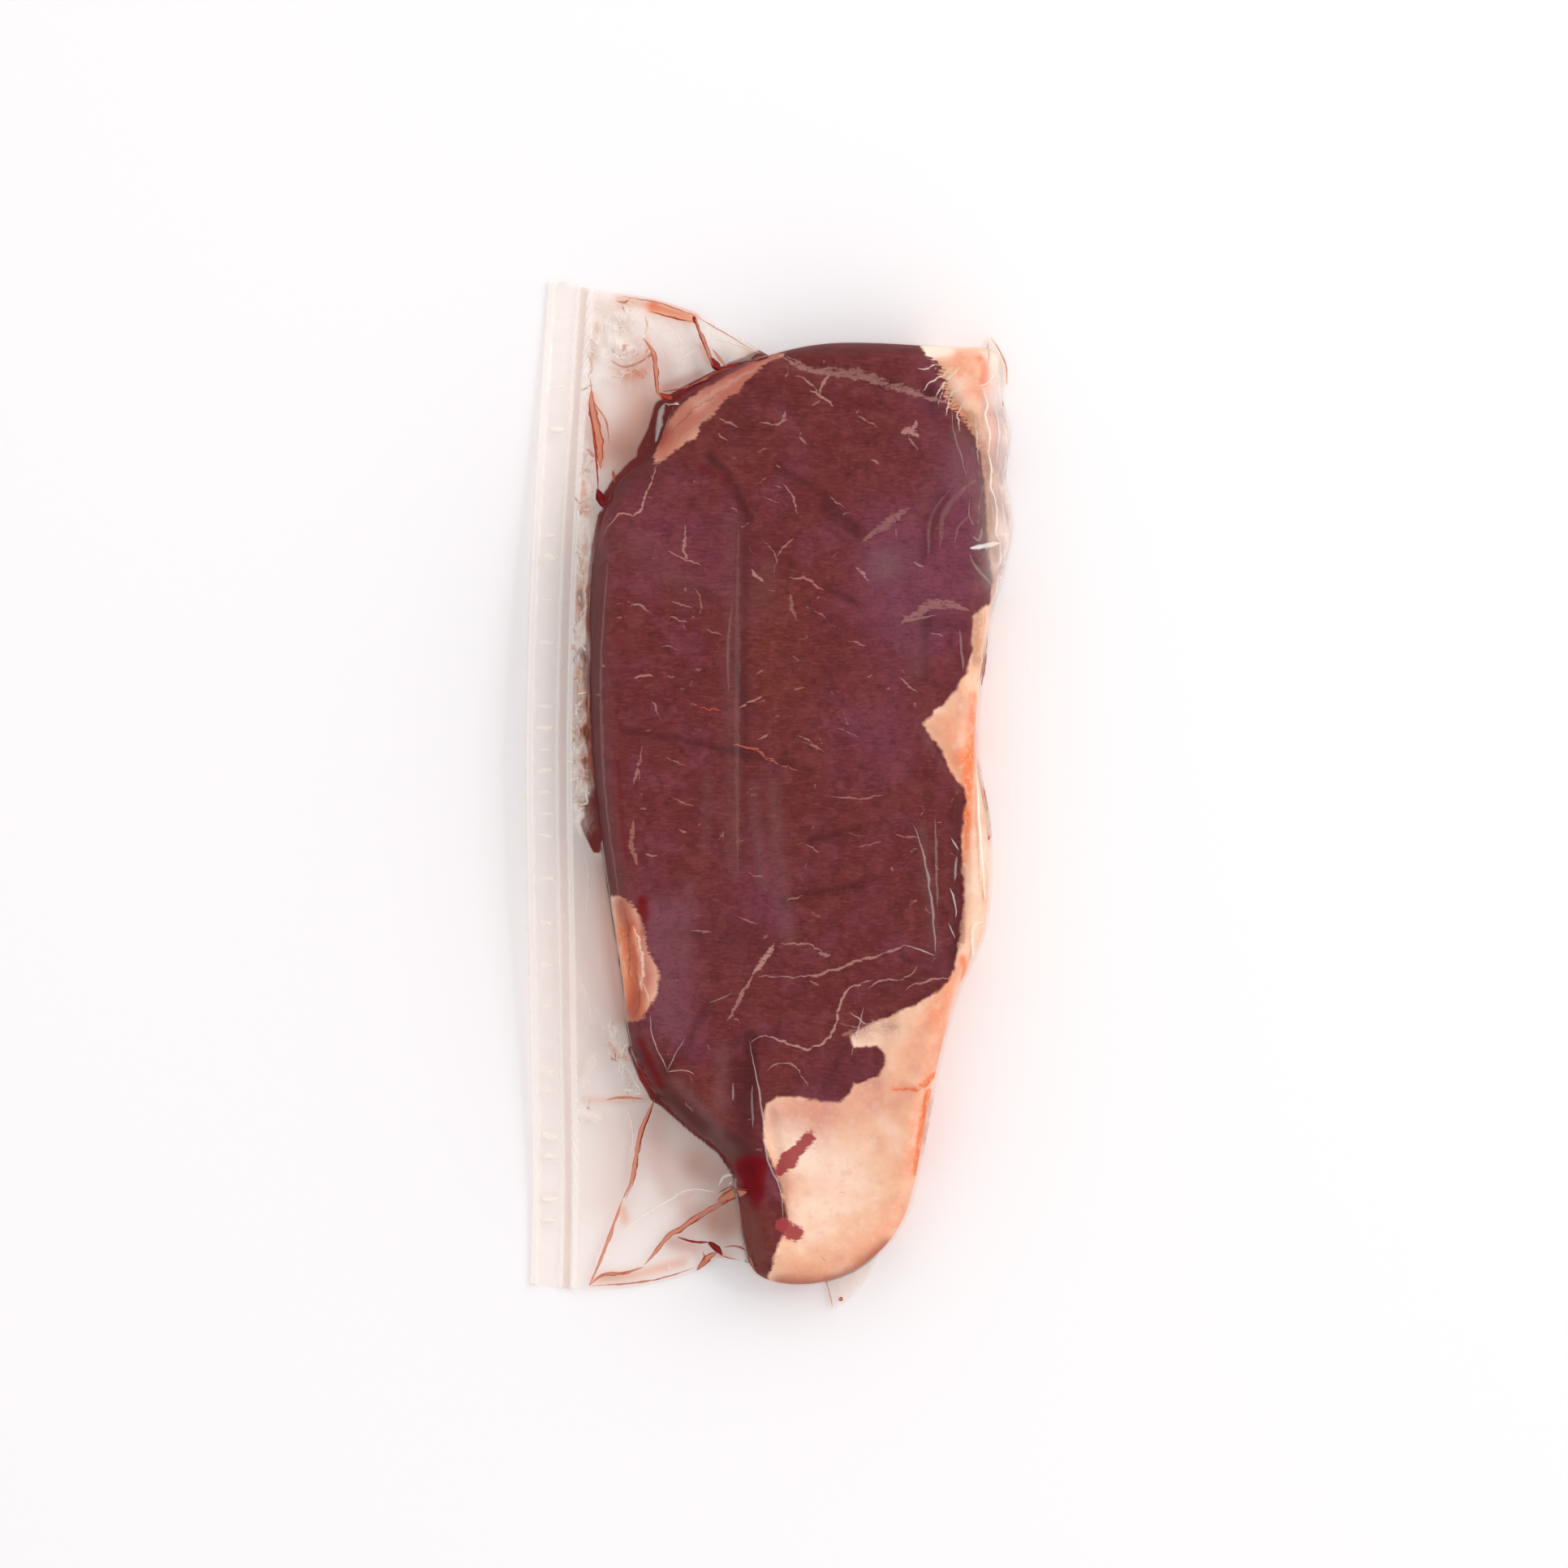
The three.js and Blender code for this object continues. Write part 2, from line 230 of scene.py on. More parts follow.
# the meat: a thick slice with a flat underside, bulging walls, a rounded rim and a cut face
steakSize = {
    "height": 19, "bulge": 7, "underCut": 3, "wallRun": 5, "lift": 1.2,
    "around": 720, "underSteps": 6, "rimSteps": 16, "faceSteps": 72, "faceCrowding": 1.25, "edgeDetail": 8,
    "spineTail": (9, -98), "spineHead": (6, 70), "spineStep": 2, "underMiddle": 0.5, "grainFrom": 4,
    "wallSlopes": [  # how much further in the rim starts, over what reach
        (5, 30, [(57, 86)]), (6, 20, [(-26, -76)]), (7, 18, [(8, -119)]), (3, 16, [(-30, 88)]),
    ],
    "swells": [
        (1.2, 55, [(2, 25)]), (-4.5, 26, [(24, -100)]), (-3, 18, [(-30, 92)]), (-1, 12, [(38, 10)]),
    ],
    "muscleSeams": [
        (-1.1, 2, [(3, 106), (14, 102), (31, 98.5), (44, 95)]),
        (-0.9, 2, [(38, 108), (44, 95), (50, 82), (51, 60)]),
        (-0.9, 2, [(51, 32), (37, 17), (47, 1), (46, -25), (43, -45), (28, -55)]),
        (-1.1, 2, [(28, -55), (24, -70), (-1, -75), (2, -96)]),
    ],
    "dimple": (0.16, 7), "fineDimple": (0.05, 1.8),  # depth and size of the grain of the cut
}

meatOutline = fatSide + headEnd + leanSide + tailEnd
meatEdge = smoothPath(meatOutline, steakSize["around"], closed=True)
edgeCount = steakSize["edgeDetail"] * steakSize["around"]
edgeTree = kdtree.KDTree(edgeCount)
for index, (edgeX, edgeY) in enumerate(smoothPath(meatOutline, edgeCount, closed=True)):
    edgeTree.insert((edgeX, edgeY, 0), index)
edgeTree.balance()


def fromMeat(x, y):
    return np.array([edgeTree.find((a, b, 0))[2] for a, b in zip(x, y)])


def spineBeside(points, snapped):
    tail = np.array(steakSize["spineTail"], float)
    head = np.array(steakSize["spineHead"], float)
    length = np.linalg.norm(head - tail)
    t = np.clip((points - tail) @ (head - tail) / length ** 2, 0, 1)
    if snapped:
        steps = round(length / steakSize["spineStep"])
        t = np.round(t * steps) / steps
    return tail + t[:, None] * (head - tail)


def faceHeight(x, y):
    swells = marked(steakSize["swells"], x, y)
    return steakSize["height"] + swells + marked(steakSize["muscleSeams"], x, y)


# 0 below a place over the bulge, 1 from just under the cut face
def onCutFace(level, fromBulge, underFace=1):
    return smoothStep(steakSize["bulge"] + fromBulge, steakSize["height"] - underFace, level)


# rings of points round the meat, from the middle of its underside to the middle of its face;
# gap is how far the skin stands off the meat, foot how far its foot is out from the edge
def wrapRings(gap, foot, floor):
    size = steakSize
    along = np.roll(meatEdge, -1, axis=0) - np.roll(meatEdge, 1, axis=0)
    along /= np.linalg.norm(along, axis=1)[:, None]
    outward = np.column_stack([along[:, 1], -along[:, 0]])
    toSpine = spineBeside(meatEdge, False) - meatEdge
    reach = np.linalg.norm(toSpine, axis=1)[:, None]
    bulge = size["bulge"] + size["lift"]
    run = size["wallRun"] + marked(size["wallSlopes"], meatEdge[:, 0], meatEdge[:, 1])
    rings = []

    def ring(plan, z):
        rings.append(np.column_stack([plan, np.broadcast_to(z, len(plan))]))

    ring(spineBeside(meatEdge, True), floor)
    ring(meatEdge + toSpine * size["underMiddle"], floor)
    for step in range(size["underSteps"] + 1):
        angle = step / size["underSteps"] * math.pi / 2
        out = foot + (gap - foot) * math.sin(angle)
        ring(meatEdge + outward * out, floor + (bulge - floor) * (1 - math.cos(angle)))
    for step in range(1, size["rimSteps"] + 1):
        angle = step / size["rimSteps"] * math.pi / 2
        inset = (run * (1 - math.cos(angle)))[:, None] / reach
        plan = meatEdge + outward * gap * math.cos(angle) + toSpine * inset
        rise = faceHeight(plan[:, 0], plan[:, 1]) - size["bulge"] + gap
        ring(plan, bulge + rise * math.sin(angle))
    top = rings[-1][:, :2]
    for step in range(1, size["faceSteps"] + 1):
        share = (step / size["faceSteps"]) ** size["faceCrowding"]
        middle = spineBeside(meatEdge, step == size["faceSteps"])
        plan = top + (middle - top) * share
        ring(plan, faceHeight(plan[:, 0], plan[:, 1]) + size["lift"] + gap)
    return np.array(rings)


# faces between rings of points, each ring a closed loop
def ringFaces(rows, around):
    faces = []
    for row in range(rows - 1):
        for step in range(around):
            a = row * around + step
            b = row * around + (step + 1) % around
            faces.append((a, b, b + around, a + around))
    return faces


# where lean and fat lie on the cut face, and their tones: amount, width, path
fatFields = {
    "cap": [
        (37, 118), (37.2, 107), (40.2, 104.4), (41.8, 100), (42.6, 96.2), (47, 90.4), (50.2, 84.2), (51.4, 79),
        (52.2, 66), (53, 58), (53.8, 49.4), (53, 45.8), (49.8, 44.6), (48.8, 42), (48.6, 33), (45.5, 26.6),
        (40, 20), (36.5, 17), (40, 12.5), (43.5, 5.5), (46.8, 1), (46.2, -10), (46.6, -27), (45, -39),
        (43.5, -45), (35, -51), (28.5, -54), (19, -59), (19.5, -61.5), (25, -61), (27.8, -63), (25.5, -69),
        (20, -70.5), (18, -74.5), (10, -74.5), (2, -73.5), (-1.4, -76), (-1.6, -85), (0.6, -91.5), (2.8, -98),
        (3.8, -105), (1.5, -110), (0, -125), (70, -125), (75, 118),
    ],
    "leftPatch": [
        (-36.5, -25), (-31.5, -31), (-30, -38), (-27.4, -43), (-28.6, -50), (-33.5, -55.5),
        (-42, -52), (-44, -28),
    ],
    "headPatch": [
        (-28.6, 81), (-27.6, 86), (-25.6, 90.4), (-22, 94.6), (-17.4, 98), (-12, 101.2), (-6.4, 104.6),
        (0, 107.4), (3, 107), (-0.6, 105), (-3.6, 102.4), (-7, 99), (-11.4, 95.4), (-13.6, 92.4), (-17.6, 89.6),
        (-18.4, 86.4), (-21.4, 85), (-24, 83.4), (-26.4, 81.2),
    ],
}
meatTones = {
    "orange": [
        (0.9, 0.9, [(50.6, 106), (52, 103), (51.6, 100.4)]), (0.5, 5, [(46, 103), (50, 98)]),
        (0.4, 5, [(43, 16), (45, 10)]), (0.7, 1.3, [(49, 24), (48.8, 14), (48.2, 6), (47.4, -5), (47, -16)]),
        (0.35, 3, [(46.6, 8), (46, -6)]), (0.5, 3, [(44, 92), (48, 84)]),
        (0.7, 1.2, [(46.4, -40), (47.6, -46)]), (1.4, 0.9, [(38.2, -73), (36.8, -83), (35.6, -92.6)]),
        (0.25, 3, [(36, -76), (34.6, -92)]), (1.0, 0.7, [(36.4, -70.8), (39.6, -68.8)]),
        (0.7, 0.7, [(29.6, -71.6), (35, -71.8)]), (0.3, 2, [(42, -58), (39, -68)]),
        (0.35, 5, [(6, -117), (20, -116), (30, -104)]), (0.8, 3.4, [(-35.4, -33), (-34.2, -44), (-33.6, -52)]),
        (0.3, 3.4, [(-25, 84), (-19, 92)]), (0.25, 12, [(36, -86)]), (0.5, 4, [(43, -46), (40, -54)]),
        (0.3, 7, [(33, -62)]),
    ],
    "rosy": [
        (0.75, 3.4, [(-36, -27), (-33, -36), (-31.4, -44), (-34, -54)]),
        (-0.35, 0.8, [(-33.4, -33), (-31.6, -40), (-31.8, -47)]),
        (0.72, 8, [(-25, 84), (-19, 91), (-12, 97), (-4, 104)]),
        (0.4, 2.0, [(-27, 92), (-21, 98), (-12, 103), (-4, 107), (1, 109)]),
        (-0.2, 1.2, [(-18, 94), (-13, 98), (-8, 101.2), (-2, 104.8)]), (0.3, 1.4, [(-27.6, 86), (-25.6, 88.6)]),
        (-0.15, 2, [(-24, 83), (-19, 86.6)]), (0.35, 2, [(40, 96), (43, 91)]),
        (0.7, 2.6, [(2, -120), (12, -120.4), (20, -118), (28, -110.6)]),
    ],
    "blush": [
        (0.55, 5, [(1, -78), (9, -78)]), (0.3, 7, [(12, -86)]), (0.6, 3, [(-31, -36), (-29.4, -46)]),
        (0.5, 6, [(14, -76), (23, -75)]), (0.9, 3.4, [(-14, 97), (-4, 103), (1, 108)]),
        (0.45, 2.2, [(43, -64), (38.6, -88), (31, -106)]), (0.6, 3, [(2, -94), (3, -104)]),
        (0.5, 2.6, [(53.6, 100), (54, 80)]), (0.35, 5, [(24, -66), (30, -76)]),
        (1.3, 2.4, [(57, 92), (57.4, 80), (57.6, 64), (56.6, 50)]), (0.5, 4, [(46, -56), (42, -64)]),
    ],
    "cream": [
        (1.3, 2, [(38.4, 107.8), (42.6, 108)]), (0.7, 5, [(4, -82), (8, -88)]),
        (0.5, 9, [(14, -98), (18, -90)]), (0.6, 1.8, [(-32.4, -38), (-31, -44)]),
        (0.6, 3, [(45, 100), (47, 96)]), (0.4, 2.6, [(49.6, -14), (49.6, -28), (48.4, -38)]),
        (0.5, 4, [(22, -60), (30, -58)]), (0.3, 3, [(50, 20), (50.6, 6)]), (0.7, 2.6, [(54, 106), (55, 96)]),
    ],
    "tan": [
        (0.9, 2.6, [(48, 91), (51.6, 80), (52.8, 66), (53, 52)]), (0.8, 2.4, [(49.6, 46), (49.8, 33)]),
        (0.55, 3, [(2, -119), (14, -119.6), (24, -114)]), (0.9, 1.6, [(0.4, -92), (2.4, -98), (3.2, -104)]),
        (0.45, 3, [(22, -58.6), (30, -57)]), (0.8, 2, [(-8, 101.6), (1, 107)]),
        (0.6, 1.4, [(-36.6, -26), (-37, -36)]), (0.7, 1.4, [(-31.4, -53), (-33.4, -57)]),
        (0.6, 1.6, [(40.6, 103), (43, 97.6), (46, 92)]),
    ],
    "bloom": [
        (1.0, 13, [(30, 62), (30, 48)]), (0.6, 14, [(26, 14)]), (1.0, 8, [(-27, -30), (-24, -54)]),
        (0.6, 5, [(27.8, 55.6)]), (1.0, 6, [(46, 80), (46, 52)]), (0.4, 9, [(14, -64), (22, -66)]),
        (0.4, 12, [(-8, -30)]), (0.7, 10, [(40, 40)]), (0.6, 12, [(-30, 66), (-16, 58)]), (0.4, 10, [(36, 90)]),
        (0.6, 5, [(-4, -10), (2, -30)]),
    ],
    "brown": [
        (1.0, 9, [(0, 44), (3, 28)]), (0.5, 12, [(6, 8), (4, -6)]), (0.4, 14, [(-14, 84), (4, 92)]),
        (0.9, 5, [(-17, -72), (-12, -78)]), (0.4, 8, [(28, 84)]), (1.4, 3.4, [(-4, -102), (-3, -114)]),
        (0.5, 9, [(-16, -34)]),
    ],
    "shade": [  # painted shade: in the gaps of the grain, on the flanks of folds, and on the walls
        (0.5, 7, [(-14, -34), (-4, -36)]), (0.9, 1.4, [(-15.2, 82.2), (-10.6, 77.4), (-5.2, 67.2)]),
        (0.7, 1.6, [(1, 79.6), (7.2, 76), (12.6, 72.6), (21.4, 63.8)]),
        (0.8, 1.4, [(12.6, 69.2), (17.4, 65.2), (22.2, 62.4)]), (0.8, 1.4, [(13.2, 50.2), (21.4, 46)]),
        (0.8, 1.2, [(-36, 15.2), (-22.2, 13.2), (-9.2, 10.4)]),
        (0.7, 1.3, [(-9.2, 10.4), (1.8, 7.8), (9.8, 5.6)]), (0.5, 3, [(14, 28.2)]),
        (0.8, 1.3, [(9.8, -11.2), (21.4, -8.4)]), (0.9, 1.4, [(3, -26.2), (12.6, -23.6), (21.4, -22.2)]),
        (0.5, 1.2, [(-25.8, -34.4), (-17.6, -33.8)]), (0.5, 2, [(5.8, -50.8)]),
        (1.4, 1.5, [(-5.2, -59), (-4.6, -66), (-5.6, -79.6)]), (1.0, 3, [(-7.6, -66), (-6.6, -84)]),
        (0.8, 1.6, [(-15.4, -50.8), (-21.6, -62.4), (-25.8, -67.2)]),
        (0.7, 1.4, [(-6.2, 66), (-6.6, 30), (-6.4, 8)]), (0.5, 1.4, [(-6.6, 4), (-6.8, -16)]),
        (0.9, 2, [(38.2, 98.2), (39.6, 93)]), (0.7, 2.6, [(45, -2), (45, -38)]),
        (0.7, 2.4, [(37, 58), (39, 66), (42, 72)]), (0.7, 2, [(38, 42), (46, 41)]),
        (0.7, 1.6, [(37, 42), (37, 28)]), (0.7, 3, [(-43, 58), (-44, 20), (-42.6, -4), (-38.6, -34)]),
        (0.5, 8, [(-32, 80)]), (0.7, 1.2, [(-9.4, 34), (-8.2, 28), (-7, 22)]),
        (0.5, 1.4, [(4, 62), (0, 58), (4, 56)]), (0.6, 2, [(-8.4, -60), (4, -58)]),
        (0.8, 1.4, [(18, -61), (13, -71)]), (0.6, 2, [(26, -47), (36, -43.6), (43, -42)]),
        (0.7, 2.2, [(0, 108), (40, 108.6)]),
    ],
    "wallShade": [  # painted shade on the meat's walls
        (1.3, 3.4, [(-33, -65), (-27, -74), (-18, -80.6), (-9, -86), (-5, -89)]),
        (0.7, 2.4, [(-43.8, 58), (-44.4, 30), (-43.6, 4), (-38, -40), (-35, -56)]),
        (0.5, 2, [(0, 109), (14, 110), (40, 109.8)]), (0.7, 2.6, [(-30, 82), (-38, 74)]),
        (0.6, 1.4, [(-30, 88), (-24, 97.4), (-14, 103.8), (-5, 108)]),
    ],
    "flesh": [
        (1.2, 1.7, [(1.8, -91.6), (4.2, -89)]), (1.2, 2.1, [(4.6, -88.4), (9, -84)]),
        (1.3, 2.3, [(2.8, -105), (6, -107.2)]),
    ],
    "blood": [
        (0.9, 3, [(-5, -91.6), (-4.4, -95)]), (0.35, 2.4, [(-7.6, -90.6), (-2, -89.6)]),
        (0.4, 1.8, [(-3.4, -97.6), (-3.8, -100)]), (0.9, 1.4, [(-33.2, -66.2), (-29.4, -73.6)]),
        (0.3, 2, [(-31.2, -25.8), (-30.4, -29)]), (0.6, 1.2, [(-8, 106.2), (-3, 107)]),
        (0.7, 1.5, [(-41.4, 70), (-40, 73)]), (0.5, 1.4, [(-32, -60), (-27, -71)]),
        (0.35, 0.9, [(46.6, -18), (46.4, -36)]), (0.5, 1.4, [(-28, 92), (-22, 98), (-13, 103)]),
        (0.4, 1.2, [(-31.4, -26), (-31, -34)]), (0.3, 1.4, [(-17, 79), (-10, 76)]),
        (0.35, 0.9, [(-37.4, 8), (-36, -10), (-35, -16)]),
    ],
    "ragged": [
        (0.3, 5, [(-34, -26), (-31, -56)]), (0.35, 5, [(-28, 82), (-16, 94), (2, 107)]),
        (0.9, 4, [(40, 104), (46, 92)]),
    ],
}


# how deep in mm each point lies inside a field of fat, and the tones there
def paintMeat(obj, farOff=-99.0, outlinePoints=220):
    x, y = planOf(obj)[:, :2].T
    fatDepth = np.full(len(x), farOff)
    for landmarks in fatFields.values():
        outline = smoothPath(landmarks, outlinePoints, closed=True)
        fatDepth = np.maximum(fatDepth, signedDistance(outline, x, y))
    paint(obj, fatDepth=fatDepth, **{name: marked(marks, x, y) for name, marks in meatTones.items()})


beefLook = {
    "lean": "#67272b", "bloom": "#773b50", "brown": "#6d301e", "light": "#854848", "dark": "#3b0e15",
    # the first colour below is the painted shade of the walls
    "wallShade": "#4c1a1b", "flesh": "#9c3a3f", "blood": "#6c0610", "bloodDeep": "#58040b",
    "fat": "#eab899", "orange": "#e57a48", "blush": "#d08e7e", "cream": "#f6e0ce", "tan": "#b58366",
    "rosy": "#9c4135", "marbling": "#bb8b82", "warmMarbling": "#c9583a", "streak": "#5a1c20",
    "fibre": 0.9, "mottle": 3.0, "bundle": 4.2, "broad": 11.0,  # sizes of the grain in mm
    "fibreTurn": 0.35, "fibreStretch": (0.45, 1.5, 1.0), "bundleScale": 300.0, "bundleStir": 0.005,
    "boundary": 0.9, "wander": 2.2, "raggedWander": 9.0, "fleshWander": 1.6, "fleshFray": 1.2, "fleckFray": 2.8,
    "roughness": 0.55, "ior": 1.4, "specular": 0.12, "relief": 0.15, "reliefDepth": 0.2 * mm,
    "lightInside": 0.1, "lightReach": 2 * mm,
}


# raw beef, cut with a knife: moist lean with a short grain, and waxy fat that lets a little light in;
# it looks matt, because film with no air under it takes the shine over
def beefMaterial():
    material, tree = newMaterial("raw beef, knife cut, moist")
    look = beefLook
    place = addNode(tree, "ShaderNodeTexCoord", out="Object")
    broad = addNode(tree, "ShaderNodeTexNoise",
                    {"Vector": place, "Scale": 1000 / look["broad"], "Detail": 3.0, "Roughness": 0.6})
    mottle = addNode(tree, "ShaderNodeTexNoise",
                     {"Vector": place, "Scale": 1000 / look["mottle"], "Detail": 4.0, "Roughness": 0.65})
    across = addNode(tree, "ShaderNodeMapping",
                     {"Vector": place, "Rotation": (0, 0, look["fibreTurn"]), "Scale": look["fibreStretch"]})
    fibre = addNode(tree, "ShaderNodeTexNoise",
                    {"Vector": across, "Scale": 1000 / look["fibre"], "Detail": 4.0, "Roughness": 0.65})
    # fibre bundles, a tone to each and darker between them
    stirred = addNode(tree, "ShaderNodeTexNoise",
                      {"Vector": place, "Scale": look["bundleScale"], "Detail": 2.0}, out="Color")
    stirred = addNode(tree, "ShaderNodeVectorMath",
                      {0: stirred, 1: [look["bundleStir"]] * 3, 2: place}, operation="MULTIPLY_ADD")
    bundle = addNode(tree, "ShaderNodeTexVoronoi",
                     {"Vector": stirred, "Scale": 1000 / look["bundle"]}, out="Color")
    bundle = addNode(tree, "ShaderNodeSeparateColor", {0: bundle}, out="Red")
    between = addNode(tree, "ShaderNodeTexVoronoi", {"Vector": stirred, "Scale": 1000 / look["bundle"]},
                      feature="DISTANCE_TO_EDGE")
    field = {name: addNode(tree, "ShaderNodeAttribute", out="Fac", attribute_name=name)
             for name in ("fatDepth", "fleck", "strength", "warm", *meatTones)}
    # how strongly a painted tone shows varies from place to place
    uneven = addNode(tree, "ShaderNodeMapRange", {0: mottle, 1: 0.32, 2: 0.68, 3: 0.45, 4: 1.5})
    shade, blush, orange, tan = (
        addNode(tree, "ShaderNodeMath", {0: field[name], 1: uneven}, operation="MULTIPLY")
        for name in ("shade", "blush", "orange", "tan"))
    lean = layered(tree, linear(look["lean"]), [
        (broad, 0.45, 0.7, 0.3, look["brown"]), (broad, 0.5, 0.3, 0.45, look["bloom"]),
        (field["bloom"], 0.0, 1.2, 0.8, look["bloom"]), (field["brown"], 0.0, 1.2, 0.6, look["brown"]),
        (bundle, 0.5, 1.0, 0.14, look["light"]), (bundle, 0.5, 0.0, 0.14, look["dark"]),
        (between, 0.09, 0.0, 0.18, look["dark"]),
        (mottle, 0.5, 0.72, 0.26, look["light"]), (mottle, 0.48, 0.3, 0.3, look["dark"]),
        (fibre, 0.52, 0.7, 0.4, look["light"]), (fibre, 0.48, 0.3, 0.4, look["dark"]),
        # painted shade: darker in the grain's gaps, on the flanks of folds and on the walls
        (shade, 0.0, 1.2, 0.6, look["dark"]), (field["wallShade"], 0.0, 1.2, 0.9, look["wallShade"]),
    ])
    fat = layered(tree, linear(look["fat"]), [
        (broad, 0.45, 0.65, 0.45, look["cream"]), (broad, 0.48, 0.32, 0.4, look["blush"]),
        (field["cream"], 0.0, 1.0, 1.0, look["cream"]), (blush, 0.0, 1.0, 0.8, look["blush"]),
        (tan, 0.0, 1.0, 0.9, look["tan"]), (orange, 0.0, 1.0, 1.0, look["orange"]),
        (mottle, 0.5, 0.75, 0.35, look["cream"]), (mottle, 0.47, 0.3, 0.25, look["blush"]),
        (fibre, 0.55, 0.75, 0.2, look["orange"]), (field["rosy"], 0.0, 1.0, 0.95, look["rosy"]),
    ])
    # the boundary wanders by about half a millimetre, and frays where the field says ragged
    aside = addNode(tree, "ShaderNodeMath", {0: mottle, 1: 0.5}, operation="SUBTRACT")
    edge = addNode(tree, "ShaderNodeMath",
                   {0: aside, 1: look["wander"], 2: field["fatDepth"]}, operation="MULTIPLY_ADD")
    aside = addNode(tree, "ShaderNodeMath", {0: fibre, 1: 0.5}, operation="SUBTRACT")
    reach = addNode(tree, "ShaderNodeMath", {0: field["ragged"], 1: look["raggedWander"]}, operation="MULTIPLY")
    edge = addNode(tree, "ShaderNodeMath", {0: aside, 1: reach, 2: edge}, operation="MULTIPLY_ADD")
    halfWidth = look["boundary"] / 2
    isFat = addNode(tree, "ShaderNodeMapRange",
                    {0: edge, 1: -halfWidth, 2: halfWidth}, interpolation_type="SMOOTHSTEP")
    colour = addNode(tree, "ShaderNodeMix", {"Factor": isFat, "A": lean, "B": fat}, data_type="RGBA")
    flesh = addNode(tree, "ShaderNodeMath",
                    {0: mottle, 1: look["fleshWander"], 2: field["flesh"]}, operation="MULTIPLY_ADD")
    flesh = addNode(tree, "ShaderNodeMath", {0: fibre, 1: look["fleshFray"], 2: flesh}, operation="MULTIPLY_ADD")
    # marbling frays out at its edge
    fleck = addNode(tree, "ShaderNodeMath",
                    {0: fibre, 1: look["fleckFray"], 2: field["fleck"]}, operation="MULTIPLY_ADD")
    fleck = addNode(tree, "ShaderNodeMapRange", {0: fleck, 1: 1.7, 2: 2.3}, interpolation_type="SMOOTHSTEP")
    fleck = addNode(tree, "ShaderNodeMath", {0: fleck, 1: field["strength"]}, operation="MULTIPLY")
    vein = layered(tree, linear(look["marbling"]), [
        (field["warm"], 0.0, 1.0, 1.0, look["warmMarbling"]), (field["warm"], 1.0, 2.0, 1.0, look["cream"]),
        (field["warm"], 0.0, -1.0, 1.0, look["streak"]),
    ])
    colour = layered(tree, colour, [(flesh, 1.9, 2.25, 0.95, look["flesh"])])
    colour = addNode(tree, "ShaderNodeMix", {"Factor": fleck, "A": colour, "B": vein}, data_type="RGBA")
    colour = layered(tree, colour, [
        (field["blood"], 0.1, 0.6, 0.9, look["blood"]), (field["blood"], 0.5, 1.4, 0.9, look["bloodDeep"]),
    ])
    relief = addNode(tree, "ShaderNodeBump",
                     {"Height": fibre, "Strength": look["relief"], "Distance": look["reliefDepth"]})
    # film lies closest on the pooled blood, so nothing there shines at all
    specular = addNode(tree, "ShaderNodeMapRange",
                       {0: field["blood"], 1: 0.1, 2: 0.6, 3: look["specular"], 4: 0.0})
    surface = addNode(tree, "ShaderNodeBsdfPrincipled", {
        "Base Color": colour, "Roughness": look["roughness"], "IOR": look["ior"], "Normal": relief,
        "Specular IOR Level": specular, "Subsurface Weight": look["lightInside"],
        "Subsurface Scale": look["lightReach"],
    })
    addNode(tree, "ShaderNodeOutputMaterial", {"Surface": surface})
    return material


print("meat: rings round its middle line")
meatRings = wrapRings(0, -steakSize["underCut"], steakSize["lift"])
steak = closeUp(meshOf("steak_meat", meatRings.reshape(-1, 3), ringFaces(len(meatRings), steakSize["around"])))
points = planOf(steak)
onFace = onCutFace(points[:, 2], steakSize["grainFrom"])
for depth, size in (steakSize["dimple"], steakSize["fineDimple"]):
    points[:, 2] += onFace * depth * unevenness(points[:, 0], points[:, 1], size, size)
movePoints(steak, points)
paintMeat(steak)
beef = beefMaterial()
steak.data.materials.append(beef)

filmLook = {
    "clear": "#fffaf6", "clearCover": 0.006, "veil": "#fffaf5", "sheen": "#b58f8e", "wine": "#782a29",
    "stain": "#eacfbf", "stainMid": "#dba080", "stainThick": "#a3583c",
    "passes": "#fffdfc", "tea": "#edd8d0", "amber": "#fbd8c5",  # let through clean, with juice, with fat
    # the first two colours below: crease crests milky with a painted highlight, and painted shade in the troughs
    "ridge": "#fffaf4", "trough": "#d3b2a6", "ridgeSize": 3.6, "ridgeWidth": 0.07,
    "ridgeStretch": (1.3, 0.5, 1.2), "ridgeBend": 0.6, "streakScale": 260.0,
    "fineRelief": 2.4, "relief": 0.35, "reliefDepth": 0.4 * mm, "roughness": 0.5, "gloss": 0.10, "ior": 1.5,
    "shine": 0.6, "clinging": 0.12, "mostShine": 0.06, "through": 0.4,
}
filmTones = ("haze", "stain", "sheen", "wine", "tea", "amber", "crumpled")
